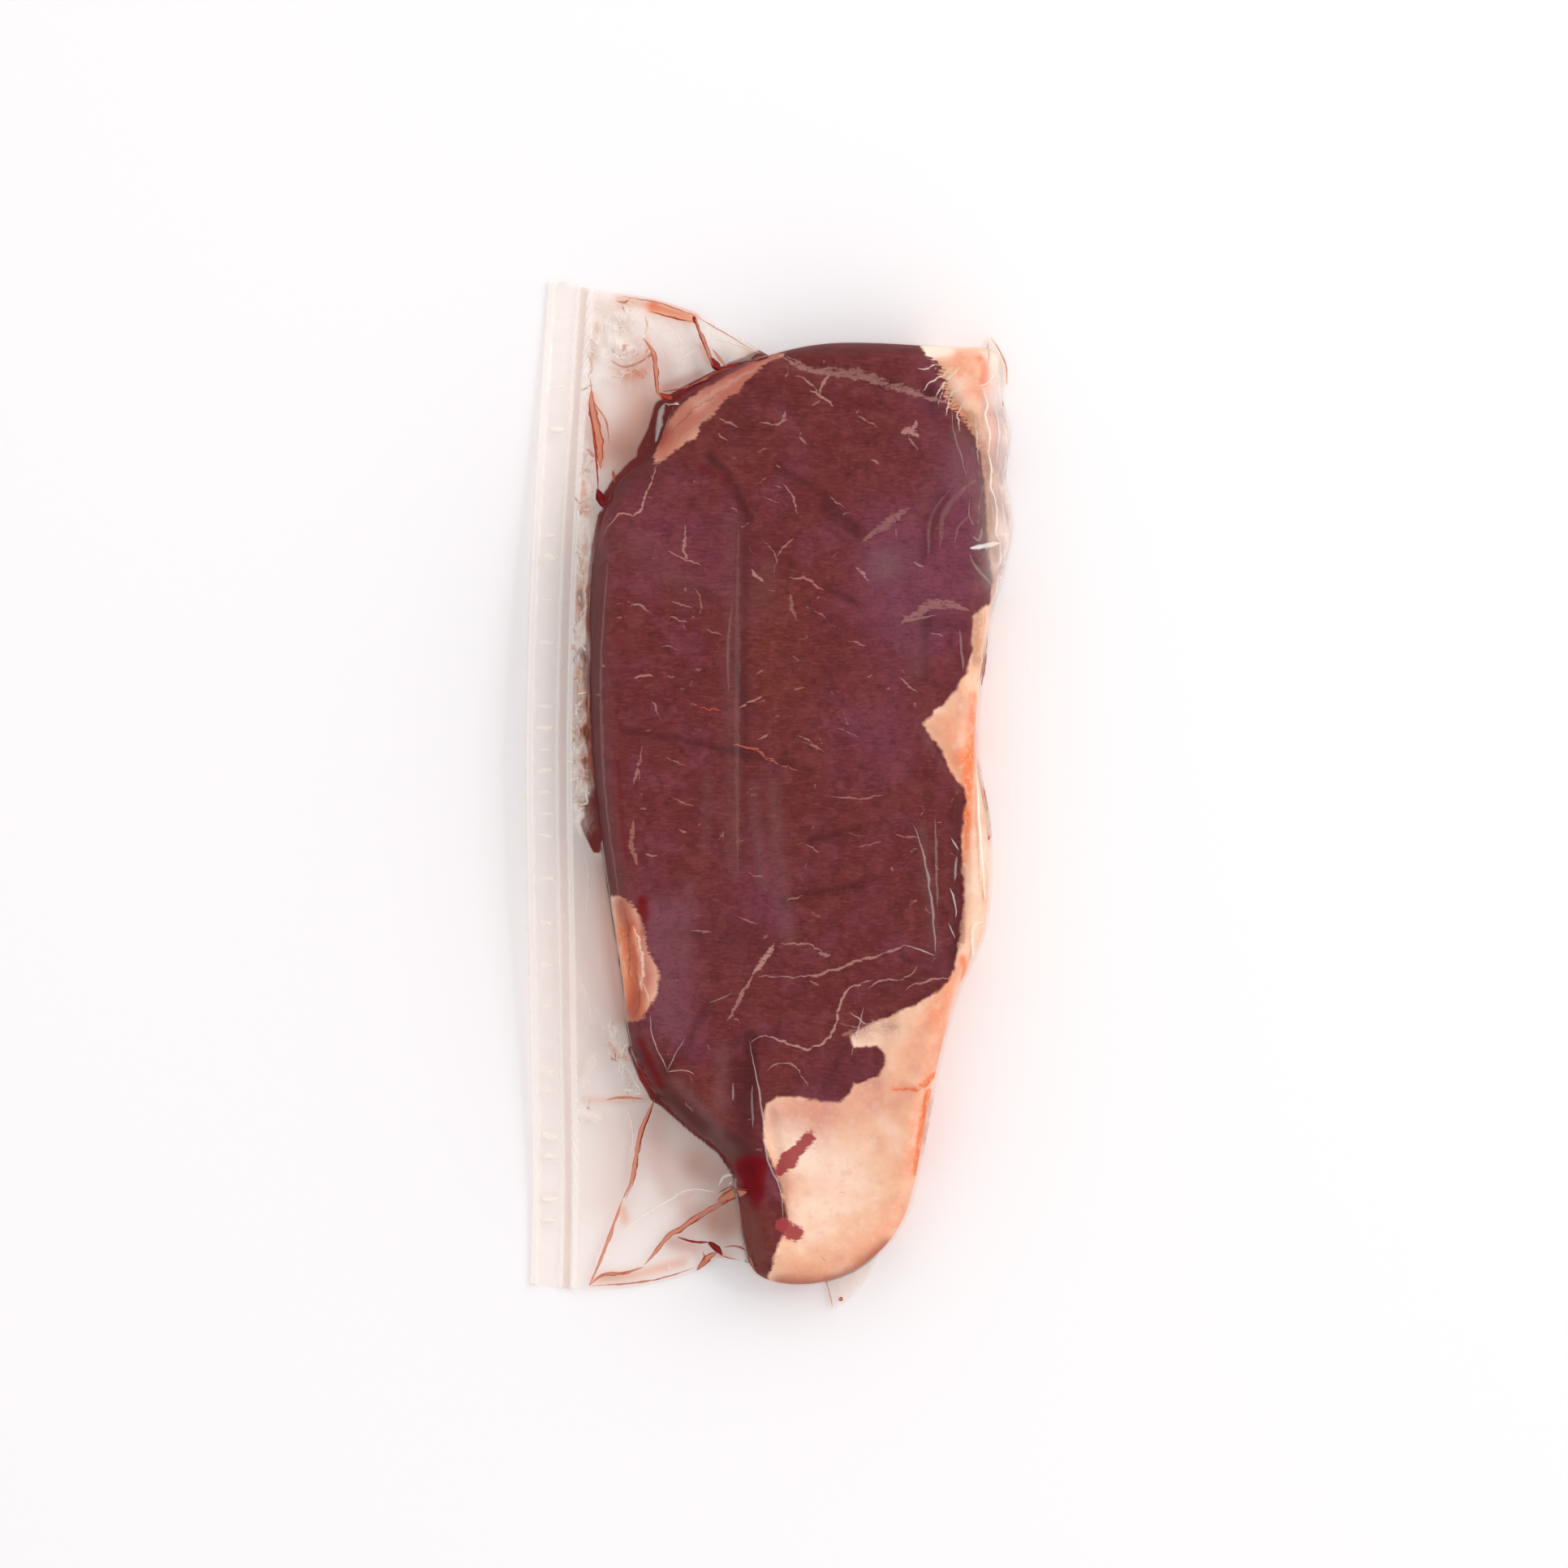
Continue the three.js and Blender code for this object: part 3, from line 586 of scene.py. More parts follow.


# clear polyamide film, blown and heat welded: flat on it is nearly invisible, folds shine and creases go milky;
# crease crests also carry a painted highlight, and their troughs painted shade
def filmMaterial():
    material, tree = newMaterial("clear polyamide film, heat welded")
    look = filmLook
    place = addNode(tree, "ShaderNodeTexCoord", out="Object")
    fine = addNode(tree, "ShaderNodeTexNoise",
                   {"Vector": place, "Scale": 1000 / look["fineRelief"], "Detail": 3.0})
    relief = addNode(tree, "ShaderNodeBump",
                     {"Height": fine, "Strength": look["relief"], "Distance": look["reliefDepth"]})
    streaky = addNode(tree, "ShaderNodeTexNoise",
                      {"Vector": place, "Scale": look["streakScale"], "Detail": 5.0, "Roughness": 0.7})
    stretch = addNode(tree, "ShaderNodeMapping", {"Vector": place, "Scale": look["ridgeStretch"]})
    web = addNode(tree, "ShaderNodeTexNoise", {
        "Vector": stretch, "Scale": 1000 / look["ridgeSize"], "Detail": 2.0, "Distortion": look["ridgeBend"],
    })
    # creases run where this noise crosses its middle
    web = addNode(tree, "ShaderNodeMath", {0: web, 1: 0.5}, operation="SUBTRACT")
    web = addNode(tree, "ShaderNodeMath", {0: web}, operation="ABSOLUTE")
    crease = addNode(tree, "ShaderNodeMapRange",
                     {0: web, 1: look["ridgeWidth"], 2: 0.0}, interpolation_type="SMOOTHSTEP")
    field = {name: addNode(tree, "ShaderNodeAttribute", out="Fac", attribute_name=name) for name in filmTones}
    patchy = addNode(tree, "ShaderNodeMapRange", {0: streaky, 1: 0.3, 2: 0.7, 3: 0.5, 4: 1.4})
    stain = addNode(tree, "ShaderNodeMath", {0: field["stain"], 1: patchy}, operation="MULTIPLY")
    # crease crests in crumpled film: milky, with a painted highlight
    crestMilkAndHighlight = addNode(tree, "ShaderNodeMath", {0: field["crumpled"], 1: crease}, operation="MULTIPLY")
    # painted shade in the troughs between creases
    trough = addNode(tree, "ShaderNodeMapRange", {0: web, 1: 0.08, 2: 0.2, 3: 0.0, 4: 0.35})
    shadedTrough = addNode(tree, "ShaderNodeMath", {0: field["crumpled"], 1: trough}, operation="MULTIPLY")
    stainTint = layered(tree, linear(look["stain"]), [
        (stain, 0.2, 0.6, 1.0, look["stainMid"]), (stain, 0.6, 1.1, 1.0, look["stainThick"]),
    ])
    wine = addNode(tree, "ShaderNodeMath", {0: field["wine"], 1: patchy}, operation="MULTIPLY")
    # what lies on the clear film: each coat adds to the cover, and tints it by its share
    cover, tint = look["clearCover"], linear(look["clear"])
    coats = [
        # the first coat is painted sheen, the film's reflection
        (field["sheen"], linear(look["sheen"])), (wine, linear(look["wine"])), (stain, stainTint),
        (shadedTrough, linear(look["trough"])), (field["haze"], linear(look["veil"])),
        (crestMilkAndHighlight, linear(look["ridge"])),
    ]
    for amount, coat in coats:
        cover = addNode(tree, "ShaderNodeMath", {0: amount, 1: cover}, operation="ADD")
        share = addNode(tree, "ShaderNodeMath", {0: amount, 1: cover}, operation="DIVIDE")
        tint = addNode(tree, "ShaderNodeMix", {"Factor": share, "A": tint, "B": coat}, data_type="RGBA")
    cover = addNode(tree, "ShaderNodeMapRange", {0: cover, 1: 0.0, 2: 1.0, 3: 0.0, 4: 1.0})
    veil = addNode(tree, "ShaderNodeBsdfPrincipled", {
        "Base Color": tint, "Roughness": look["roughness"], "IOR": look["ior"], "Specular IOR Level": 0.0,
    })
    through = addNode(tree, "ShaderNodeBsdfTranslucent", {"Color": tint})
    veil = addNode(tree, "ShaderNodeMixShader", {0: look["through"], 1: veil, 2: through})
    passes = layered(tree, linear(look["passes"]), [
        (field["tea"], 0.0, 1.0, 1.0, look["tea"]), (field["amber"], 0.0, 1.0, 1.0, look["amber"]),
    ])
    clear = addNode(tree, "ShaderNodeBsdfTransparent", {"Color": passes})
    body = addNode(tree, "ShaderNodeMixShader", {0: cover, 1: clear, 2: veil})
    # seen edge on, film would mirror the room, but wet meat lies against it where it isn't loose
    fresnel = addNode(tree, "ShaderNodeFresnel", {"IOR": look["ior"], "Normal": relief})
    fresnel = addNode(tree, "ShaderNodeMath", {0: fresnel, 1: look["mostShine"]}, operation="MINIMUM")
    back = addNode(tree, "ShaderNodeNewGeometry", out="Backfacing")
    front = addNode(tree, "ShaderNodeMath",
                    {0: back, 1: -look["shine"], 2: look["shine"]}, operation="MULTIPLY_ADD")
    loose = addNode(tree, "ShaderNodeMapRange", {0: field["haze"], 1: 0.0, 2: 0.4, 3: look["clinging"], 4: 1.0})
    front = addNode(tree, "ShaderNodeMath", {0: front, 1: loose}, operation="MULTIPLY")
    shine = addNode(tree, "ShaderNodeMath", {0: fresnel, 1: front}, operation="MULTIPLY")
    gloss = addNode(tree, "ShaderNodeBsdfGlossy", {"Roughness": look["gloss"], "Normal": relief})
    whole = addNode(tree, "ShaderNodeMixShader", {0: shine, 1: body, 2: gloss})
    addNode(tree, "ShaderNodeOutputMaterial", {"Surface": whole})
    return material


film = filmMaterial()

# the film that clings to the meat
clingSize = {
    "gap": 0.35, "foot": 1.5, "floor": 0.3, "ripple": (0.12, 9), "rippleFrom": 3,
    "wallFrom": 0.5, "wallRidge": 2.6, "wallSlant": 0.6, "wallStretch": 0.28,
    "plainPush": 0.3, "crumpledPush": 0.8, "ridgeLevel": 0.4, "mostSunk": 0.2, "pushUp": 0.7,  # shares and mm
    "crumpledWall": [
        (1.0, 6, [(57, 98), (57, 52)]), (0.4, 3, [(54, 10), (53, -40)]), (0.5, 4, [(-33, -64), (-10, -86)]),
    ],
    "besideHead": [(1.0, 5, [(58, 96), (58, 54)])],
    "haze": [(0.5, 3, [(54, 106), (55.4, 96)])], "stain": [(0.3, 1.6, [(53.4, 6), (53.6, -10)])],
    "folds": [  # rise in mm, width, path
        (0.3, 1.4, [(-7.6, 67.6), (-7.8, 47.6), (-8, 15.6), (-7.8, -22)]),
        (0.3, 1.2, [(-10, 46.6), (-11, 35.6), (-10.6, 25.6)]),
        (0.5, 1.6, [(35, 0), (37.4, -21.6), (39.8, -38.2)]), (0.4, 2.4, [(5, 4), (6, -20), (4, -34)]),
        (0.5, 2.4, [(40, 82), (36, 66), (37, 50), (37, 30)]), (0.4, 2, [(41, 60), (44, 68), (49, 75)]),
        (0.9, 1.4, [(51.5, 97.9), (52, 88), (53.2, 76.8), (54.9, 66.6), (55.4, 60.4), (55.6, 47.8)]),
        (0.8, 1.2, [(50.6, 10.2), (50.2, -4.4), (51.6, -20.4), (52.2, -30.4)]),
        (0.7, 1.2, [(49.2, -31.8), (48.8, -40), (47.6, -45)]),
        (0.7, 1.2, [(-36, -36), (-34, -55), (-25.4, -67.4), (-18, -76), (-6, -85)]),
        (0.5, 1.2, [(-39.6, 34), (-38, -8)]),
        (0.5, 1.5, [(-5.4, -60), (-3.8, -68), (-1.8, -81), (-1.2, -88), (2.8, -103.6)]),
        (0.5, 1.5, [(-12, -60), (-12.6, -76)]), (0.4, 1.6, [(-25.4, -67), (-15.4, -50.8), (-9.2, -48.2)]),
    ],
    "sheen": [  # painted sheen, the film's reflection: paler where the film stands off the meat
        (0.2, 2.2, [(-9.6, 66), (-9.8, 30), (-9.4, -18)]), (0.12, 2, [(40, 78), (34, 66), (36, 50)]),
        (0.2, 1.8, [(36, 44), (35.6, 30)]), (0.22, 5, [(-27, -30), (-24, -56)]),
        (0.25, 2, [(0.4, 2), (1.2, -12), (2.4, -24), (4, -35)]), (0.3, 1.8, [(-12, -62), (-12.6, -76)]),
        (0.4, 1.6, [(-23, -70), (-17, -76.6), (-12.6, -81.6)]),
        (0.2, 2.4, [(-41, 60), (-41.4, 34), (-40.6, 8), (-38.6, -10), (-36.8, -24)]),
        (0.25, 1.6, [(36.2, -8), (38, -24), (39.4, -37)]), (0.1, 4, [(2, -80), (12, -78)]),
        (0.2, 3, [(-3, 47), (-1, 54)]), (0.15, 4, [(-34, 60), (-20, 50)]), (0.15, 1.2, [(44, 88), (45, 78)]),
        (0.12, 3, [(30, 44), (34, 30)]), (0.25, 1.4, [(-4.6, 2), (-3.4, -12), (-2, -22)]),
        (0.2, 2, [(-20, -22), (-21, -40)]), (0.2, 1.2, [(-15.4, 4), (-16, -14)]), (0.6, 4.5, [(27.8, 55.6)]),
        (0.2, 1.6, [(-4.6, -104), (-2.6, -112)]), (0.3, 4, [(46.6, 86), (46, 76)]),
        (0.4, 2, [(-14, -83), (-9.6, -86.6)]),
    ],
}
clingLook = {
    "headHazeAndHighlight": 0.55, "ridgeHighlight": 0.4, "headSheen": 0.3, "sheen": 0.5, "crumpled": 0.5, "wine": 0.25,
    "wineReach": (98, 90),  # from where to where along the wall the wine colour comes in
}

print("film: cling over the meat")
clingRings = wrapRings(clingSize["gap"], clingSize["foot"], clingSize["floor"])
cling = closeUp(meshOf("pouch_film", clingRings.reshape(-1, 3), ringFaces(len(clingRings), steakSize["around"])))
points = planOf(cling)
planX, planY = points[:, 0], points[:, 1]
onFace = onCutFace(points[:, 2], clingSize["rippleFrom"])
rippleDepth, rippleSize = clingSize["ripple"]
ripple = rippleDepth * (1 + unevenness(planX, planY, rippleSize, 21, 3))
points[:, 2] += onFace * (marked(clingSize["folds"], planX, planY) + ripple)
# the side walls crumple along their length, most of all beside the fat at the head
onWall = (points[:, 2] > clingSize["wallFrom"]) * (1 - onFace)
crumpledWall = marked(clingSize["crumpledWall"], planX, planY)
slanted, stretched = planX + points[:, 2] * clingSize["wallSlant"], planY * clingSize["wallStretch"]
ridges = crumple(slanted, stretched, clingSize["wallRidge"], 5.5)
push = (clingSize["plainPush"] + clingSize["crumpledPush"] * crumpledWall) * onWall
points[:, 0] += np.sign(planX) * np.maximum(push * (ridges - clingSize["ridgeLevel"]), -clingSize["mostSunk"])
points[:, 2] += push * np.maximum(ridges, 0) * clingSize["pushUp"]
movePoints(cling, points)
atHead = marked(clingSize["besideHead"], planX, planY) * (points[:, 2] > clingSize["wallFrom"])
ridges = np.clip(ridges, 0, 1)
look = clingLook
# on the head wall: milky film, with a painted highlight on the crests of its crumples
headHazeAndHighlight = atHead * (look["headHazeAndHighlight"] + look["ridgeHighlight"] * ridges ** 2)
headWine = look["wine"] * atHead * (1 - ridges) ** 2 * smoothStep(*look["wineReach"], planY)
headSheen = look["headSheen"] * atHead * (1 - ridges) ** 2
paint(cling, haze=headHazeAndHighlight + marked(clingSize["haze"], planX, planY), wine=headWine,
      crumpled=look["crumpled"] * crumpledWall * onWall, stain=marked(clingSize["stain"], planX, planY),
      sheen=look["sheen"] * marked(clingSize["sheen"], planX, planY) + headSheen)
cling.data.materials.append(film)

# the film panel beside the meat: two plies with a welded flange, open margins, and stains of dried juice
panelSize = {
    "columns": 110, "rows": 400, "edgePoints": 500, "clearance": 0.06, "floor": 0.8,
    "tentHeight": 7.5, "tentRun": 6, "lift": 7, "liftRun": 34,
    "welds": [  # haze, place, width
        (0.7, 0.6, 0.4), (0.6, 1.6, 0.35), (0.4, 7.7, 0.35), (0.7, 10.4, 0.3), (0.7, 11.2, 0.3),
    ],
    "weldRise": 0.35, "weldSpread": 1.4, "bandEnd": 11.4, "bandSoft": 0.5,
    "pucker": (0.5, 4), "puckerReach": (1.5, 7.6, 1.0),  # from, to, how softly
    "looseFrom": (10, 14), "plainRise": 0.22, "crumpledRise": 0.8,
    "crinkles": [(0.7, 0.6, 6, 2.5), (0.5, 0.5, 2.8, 9.1)],  # share, stretch, size, seed
    "fineCrinkle": (0.4, 2.4, 4.4),
    "folds": [  # rise, width, path
        (1.5, 1.4, [(-19.4, 118.4), (-18, 114.6), (-16, 109.8), (-14.6, 105.6)]),
        (1.0, 1.4, [(-12.6, 105), (-8, 106), (-2, 107)]),
        (1.5, 1.4, [(-31.8, 112.6), (-29.4, 109.2), (-28.6, 104.4), (-28.2, 99.6), (-27, 96.8)]),
        (1.0, 1.2, [(-30.4, 119.4), (-25.2, 118), (-19.4, 116.6)]),
        (0.8, 1.0, [(-39.8, 107), (-36.4, 105.6), (-32.4, 107), (-29.6, 108.4)]),
        (1.4, 1.4, [(-45, 103), (-44, 96.8), (-41.2, 92.6), (-40, 85.8)]),
        (1.0, 1.2, [(-45.4, 97.4), (-43.4, 83.6), (-42.6, 73.6)]),
        (1.6, 1.2, [(-28.8, -75.2), (-32.2, -83), (-34.8, -96), (-39.4, -107.4), (-45.2, -121.8)]),
        (1.6, 1.4, [(-5.2, -97.2), (-12, -100.4), (-19.6, -105.8), (-24, -108), (-31.6, -116.6)]),
        (1.2, 1.2, [(-23.4, -109.6), (-15.2, -110.6), (-8.8, -111.6), (-3.4, -118.2)]),
        (1.2, 1.0, [(-38, -109.4), (-31.6, -104.2), (-26.2, -101), (-20.8, -98), (-13.2, -98.2)]),
        (0.9, 1.2, [(-31.8, -117.2), (-36, -118.8), (-45.2, -121.8)]), (0.8, 1.6, [(-46, -75.6), (-31, -75.6)]),
        (0.8, 1.6, [(-40.6, -58), (-36, -69)]),
    ],
    "stain": [
        (0.22, 2.4, [(-47.2, 74), (-47, 40), (-46.8, 4)]), (0.7, 1.3, [(-47.4, 49), (-46.8, 46)]),
        (0.5, 1.2, [(-43.4, 116), (-44.6, 111), (-44.4, 108.6)]), (0.3, 1.4, [(-46.4, 80), (-45.8, 70)]),
        (0.25, 1.6, [(-46, 60), (-46, 44)]), (0.3, 1.6, [(-46.8, 30), (-46.4, 26)]),
        (0.6, 1.5, [(-45.8, 24.6), (-45.2, 20.4)]), (0.5, 1.2, [(-45, 20), (-44.4, 15)]),
        (0.9, 1.5, [(-46, 15.4), (-44.4, 13.4)]), (0.7, 1.6, [(-46.2, 8), (-44.8, 3)]),
        (0.4, 1.2, [(-47, -2), (-46, -4)]), (0.5, 1.5, [(-39.8, -62), (-35.8, -65.4)]),
        (0.3, 2, [(-46, 122), (-38, 120)]), (0.3, 1.6, [(-37, 116), (-34, 112)]),
        (0.25, 2, [(-47, -70), (-45, -66)]), (0.4, 2, [(-7, 109.4), (-3.4, 107.8)]),
    ],
    "amber": [
        (0.4, 1.7, [(-38, 122.4), (-30, 121)]), (0.7, 1.7, [(-29, 120.6), (-19.6, 117.8)]),
        (0.4, 2, [(-44.4, 98), (-43, 90), (-42, 82)]), (0.35, 1.4, [(-38.6, 104.8), (-33, 104)]),
        (0.4, 1.2, [(-34, 107.6), (-30.4, 108.6), (-31, 113)]), (0.4, 1.4, [(-11, 110.2), (-5, 108.2)]),
        (0.5, 1.1, [(-17.6, 111), (-15, 106.6)]), (0.3, 1.4, [(-36.4, 103.4), (-31.4, 104.6), (-29.6, 107)]),
        (0.35, 1.1, [(-46.4, -75.6), (-38, -76), (-31, -75.4)]), (0.4, 1.5, [(-37, -103), (-36.4, -105.6)]),
        (0.2, 5, [(-33, 98), (-33, 90)]), (0.4, 1.6, [(-44, -120.6), (-34, -119.2), (-22, -116)]),
        (0.4, 1.2, [(-13, -114), (-7, -117)]), (0.25, 3, [(-11, -102), (-8, -107)]),
        (0.3, 1.2, [(-15, -108), (-14, -104)]), (0.2, 2.5, [(-45, 70), (-44.6, 50)]),
    ],
    "tea": [
        (0.5, 7, [(-31, 95), (-36, 88)]), (0.3, 4, [(-37, 84), (-37, 80)]), (0.25, 6, [(-36, 104)]),
        (0.2, 8, [(-24, 108)]), (0.35, 1.6, [(-26, 100.4), (-18, 103.6)]), (0.2, 8, [(-24, -82), (-22, -92)]),
        (0.3, 5, [(-18, -92), (-12, -96), (-10, -104)]), (0.35, 4, [(-20, -103), (-12, -108)]),
        (0.2, 8, [(-38, -84), (-40, -100)]), (0.15, 3, [(-28.4, -79), (-28.6, -92), (-26, -99)]),
        (0.2, 5, [(-22, -112)]), (0.35, 2.4, [(-41.6, -18), (-39.4, -40), (-37, -56)]),
        (0.12, 9, [(-46, -20), (-44, -60)]), (0.25, 2, [(-25, -111), (-19, -113)]),
        (-0.2, 6, [(-14, 113), (-8, 110)]),
    ],
    "wine": [  # where the meat's wall and dark juice show through
        (1.0, 1.9, [(-3, 107.4), (-10, 104.2), (-17, 100.6), (-24, 97)]),
        (1.0, 2.2, [(-27, 95), (-28.4, 89.6), (-31, 84.6)]),
        (1.1, 2.4, [(-33.4, 80), (-37, 76.2), (-39.6, 72)]),
        (0.9, 1.3, [(-41.6, 68), (-43.2, 60), (-44.2, 50)]),
        (0.8, 0.9, [(-44.6, 50), (-45, 30), (-44.2, 6), (-42.6, -11)]),
        (1.2, 1.3, [(-46.2, 34.8), (-44.6, 32.8)]), (1.1, 1.2, [(-44.6, 34), (-44.6, 26)]),
        (1.0, 2.0, [(-44.4, -3), (-42.8, -9)]), (1.2, 1.1, [(-45.8, -7.4), (-44.6, -10), (-43, -13.4)]),
        (0.7, 1.2, [(-45.2, 15.4), (-44.2, 12.8)]), (0.9, 1.3, [(-34.2, -63), (-31.4, -70), (-29, -74.2)]),
        (0.9, 1.1, [(-28, -75), (-20, -82), (-12.4, -88), (-8.4, -94)]),
        (0.5, 1.4, [(-7.4, -98), (-6.4, -108), (-5, -115)]),
    ],
    # milky film, and painted highlights on bright creases and streaks
    "haze": [
        (0.55, 1.6, [(-38, 119), (-33.4, 118.6), (-30.6, 116.6)]), (0.5, 1.6, [(-43.4, 113), (-41.8, 108.6)]),
        (0.4, 1.2, [(-40, 113), (-35, 110)]), (0.3, 2.4, [(-46, 122), (-40, 121)]),
        (0.3, 3, [(-47, 66), (-46.6, 48)]), (0.5, 1.6, [(-47.2, 40), (-46, 37)]),
        (0.5, 1.4, [(-48, -3), (-47, -8)]), (0.5, 1.4, [(-48.2, 9.4), (-47.6, 6)]),
        (0.3, 1.2, [(-48, 5), (-46.6, 1)]), (0.2, 2.2, [(-48.8, -44.3), (-44.3, -54.4)]),
        (0.5, 0.9, [(-39, -58), (-37.6, -64)]), (0.35, 1.2, [(-46.8, -72), (-44.2, -65.6)]),
        (0.55, 1.2, [(-47.4, -78.6), (-43.4, -79.4)]), (0.25, 2, [(-26, 114), (-22, 108)]),
        (0.3, 2.4, [(-42, -115)]), (0.2, 3, [(-22, -114)]), (0.16, 8, [(-48, -84), (-46, -112)]),
        (0.7, 4, [(-14, 113), (-9, 110)]), (0.2, 2, [(-30, -106), (-18, -100)]),
        (0.3, 2.4, [(-37, 112), (-33, 114)]), (0.4, 2, [(-46, 120), (-44, 116)]),
        (0.25, 2.4, [(-26.6, 112), (-22.4, 105)]), (0.12, 4, [(-33, 100), (-36, 96)]),
        (0.35, 1.8, [(-42, 104), (-38.6, 103)]),
    ],
    "crumpled": [
        (0.9, 2.8, [(-46.8, 84), (-47, 70), (-46.6, 36)]), (0.8, 2.2, [(-46.6, 36), (-46.8, 12), (-46.4, -8)]),
        (0.6, 3.4, [(-36, 120), (-42, 112)]), (0.9, 1.8, [(-47.4, 10), (-46, 2)]),
        (0.8, 2, [(-40, -58), (-34, -73)]), (0.4, 2, [(-46.6, 112), (-46, 92)]),
        (0.5, 3, [(-38, 110), (-32, 106), (-36, 104)]), (0.4, 2, [(-48, -76), (-43, -80)]),
    ],
}
panelLook = {
    "haze": 0.015, "bandHaze": 0.2, "ridgeHighlight": 0.6, "troughStain": 0.2, "crumpled": 0.4, "tea": 0.06,
    "wine": 1.6, "wineReach": (0.25, 0.6), "weldGap": (7.8, 10.4, 0.5), "weldTea": 0.3,
}


# a function from shares along an edge to plan points on it
def edgeCurve(landmarks):
    line = smoothPath(landmarks, panelSize["edgePoints"])
    share = np.linspace(0, 1, len(line))
    return lambda t: np.stack([np.interp(t[..., 0], share, line[:, i]) for i in (0, 1)], axis=-1)


# plan points blended between the panel's four edges
def panelPlan(u, v):
    tail, head, flange, tucked = (edgeCurve(edge) for edge in (tailEdge, headEdge, flangeEdge, tuckedEdge))
    plan = (1 - v) * tail(u) + v * head(u) + (1 - u) * flange(v) + u * tucked(v)
    plan -= (1 - u) * (1 - v) * np.array(tailEdge[0]) + u * (1 - v) * np.array(tailEdge[-1])
    return plan - (1 - u) * v * np.array(headEdge[0]) - u * v * np.array(headEdge[-1])


# faces of two sheets over one grid, joined round their edges
def patchFaces(columns, rows):
    layer = (columns + 1) * (rows + 1)
    faces = []
    for row in range(rows):
        for column in range(columns):
            a = row * (columns + 1) + column
            b, c, d = a + 1, a + columns + 2, a + columns + 1
            faces.append((a, b, c, d))
            faces.append((layer + a, layer + d, layer + c, layer + b))
    loop = list(range(columns + 1))
    loop += [(row + 1) * (columns + 1) - 1 for row in range(1, rows + 1)]
    loop += [rows * (columns + 1) + column for column in range(columns - 1, -1, -1)]
    loop += [row * (columns + 1) for row in range(rows - 1, 0, -1)]
    for a, b in zip(loop, loop[1:] + loop[:1]):
        faces.append((layer + a, layer + b, b, a))
    return faces


# the weld lines, as haze by the distance from the flange's edge
def weldsAt(fromFlange, widen=1.0):
    lines = [haze * np.exp(-((fromFlange - at) / (width * widen)) ** 2) for haze, at, width in panelSize["welds"]]
    return sum(lines)


# 1 between two values, with soft sides
def within(low, high, soft, value):
    return smoothStep(low, low + soft, value) * smoothStep(high, high - soft, value)


print("film: panel and flange")
u, v = np.meshgrid(np.linspace(0, 1, panelSize["columns"] + 1), np.linspace(0, 1, panelSize["rows"] + 1))
plan = panelPlan(u[..., None], v[..., None]).reshape(-1, 2)
planX, planY = plan.T
flangeLine = smoothPath(flangeEdge, 60)
fromFlange = distanceTo(flangeLine, planX, planY)
curl = panelSize["lift"] * (1 - smoothStep(0, 1, fromFlange / panelSize["liftRun"]))
low = curl * np.sin(math.pi * v.ravel()) ** 2 + panelSize["clearance"]
inMeat = signedDistance(meatEdge[::4], planX, planY) > 0
near = fromMeat(planX, planY)
tent = (panelSize["tentHeight"] - panelSize["floor"]) * np.where(inMeat, 1, np.exp(-near / panelSize["tentRun"]))
loose = smoothStep(*panelSize["looseFrom"], fromFlange) * (1 - inMeat)
crinkle = sum(share * crumple(planX, planY * stretch, size, seed)
              for share, stretch, size, seed in panelSize["crinkles"])
crumpledThere = marked(panelSize["crumpled"], planX, planY)
puckerDepth, puckerSize = panelSize["pucker"]
high = low + panelSize["floor"] + tent + marked(panelSize["folds"], planX, planY) * (1 - inMeat)
high += panelSize["weldRise"] * np.minimum(weldsAt(fromFlange, panelSize["weldSpread"]) * 2, 1)
puckers = puckerDepth * unevenness(planX * 0.4, planY, puckerSize, 7.7, 3)
high += puckers * within(*panelSize["puckerReach"], fromFlange)
high += loose * crinkle * (panelSize["plainRise"] + panelSize["crumpledRise"] * crumpledThere)
verts = np.vstack([np.column_stack([plan, high]), np.column_stack([plan, low])])
panel = closeUp(meshOf("pouch_panel", verts, patchFaces(panelSize["columns"], panelSize["rows"])))
planX, planY = planOf(panel)[:, :2].T
fromFlange = distanceTo(flangeLine, planX, planY)
bandEnd, bandSoft = panelSize["bandEnd"], panelSize["bandSoft"]
band = smoothStep(bandEnd + bandSoft, bandEnd - bandSoft, fromFlange)
normals = np.empty(len(planX) * 3)
panel.data.vertices.foreach_get("normal", normals)
isTop = 1.0 * (normals[2::3] > 0)
offBand = isTop * (1 - band)
crumpledThere = marked(panelSize["crumpled"], planX, planY)
fineStretch, fineSize, fineSeed = panelSize["fineCrinkle"]
ridges = np.clip(crumple(planX, planY * fineStretch, fineSize, fineSeed), 0, 1) ** 4
tone = {name: marked(panelSize[name], planX, planY) for name in ("haze", "stain", "wine", "amber", "tea")}
look = panelLook
# the crests of the crumpled margins get a painted highlight
paint(panel, haze=isTop * (weldsAt(fromFlange) + look["bandHaze"] * band)
      + offBand * (look["haze"] + tone["haze"] + look["ridgeHighlight"] * ridges * crumpledThere),
      stain=offBand * (tone["stain"] + look["troughStain"] * crumpledThere * (1 - ridges)),
      wine=look["wine"] * offBand * smoothStep(*look["wineReach"], tone["wine"]),
      amber=(1 - band) * tone["amber"], crumpled=look["crumpled"] * offBand * crumpledThere,
      tea=(1 - band) * np.maximum(0, look["tea"] + tone["tea"])
      + look["weldTea"] * within(*look["weldGap"], fromFlange))
panel.data.materials.append(film)


# surfaces that strips are laid on
meatSkin = bpy.data.collections.new("meat skin")
meatSkin.objects.link(steak)
filmSkin = bpy.data.collections.new("film skin")
filmSkin.objects.link(cling)
filmSkin.objects.link(panel)


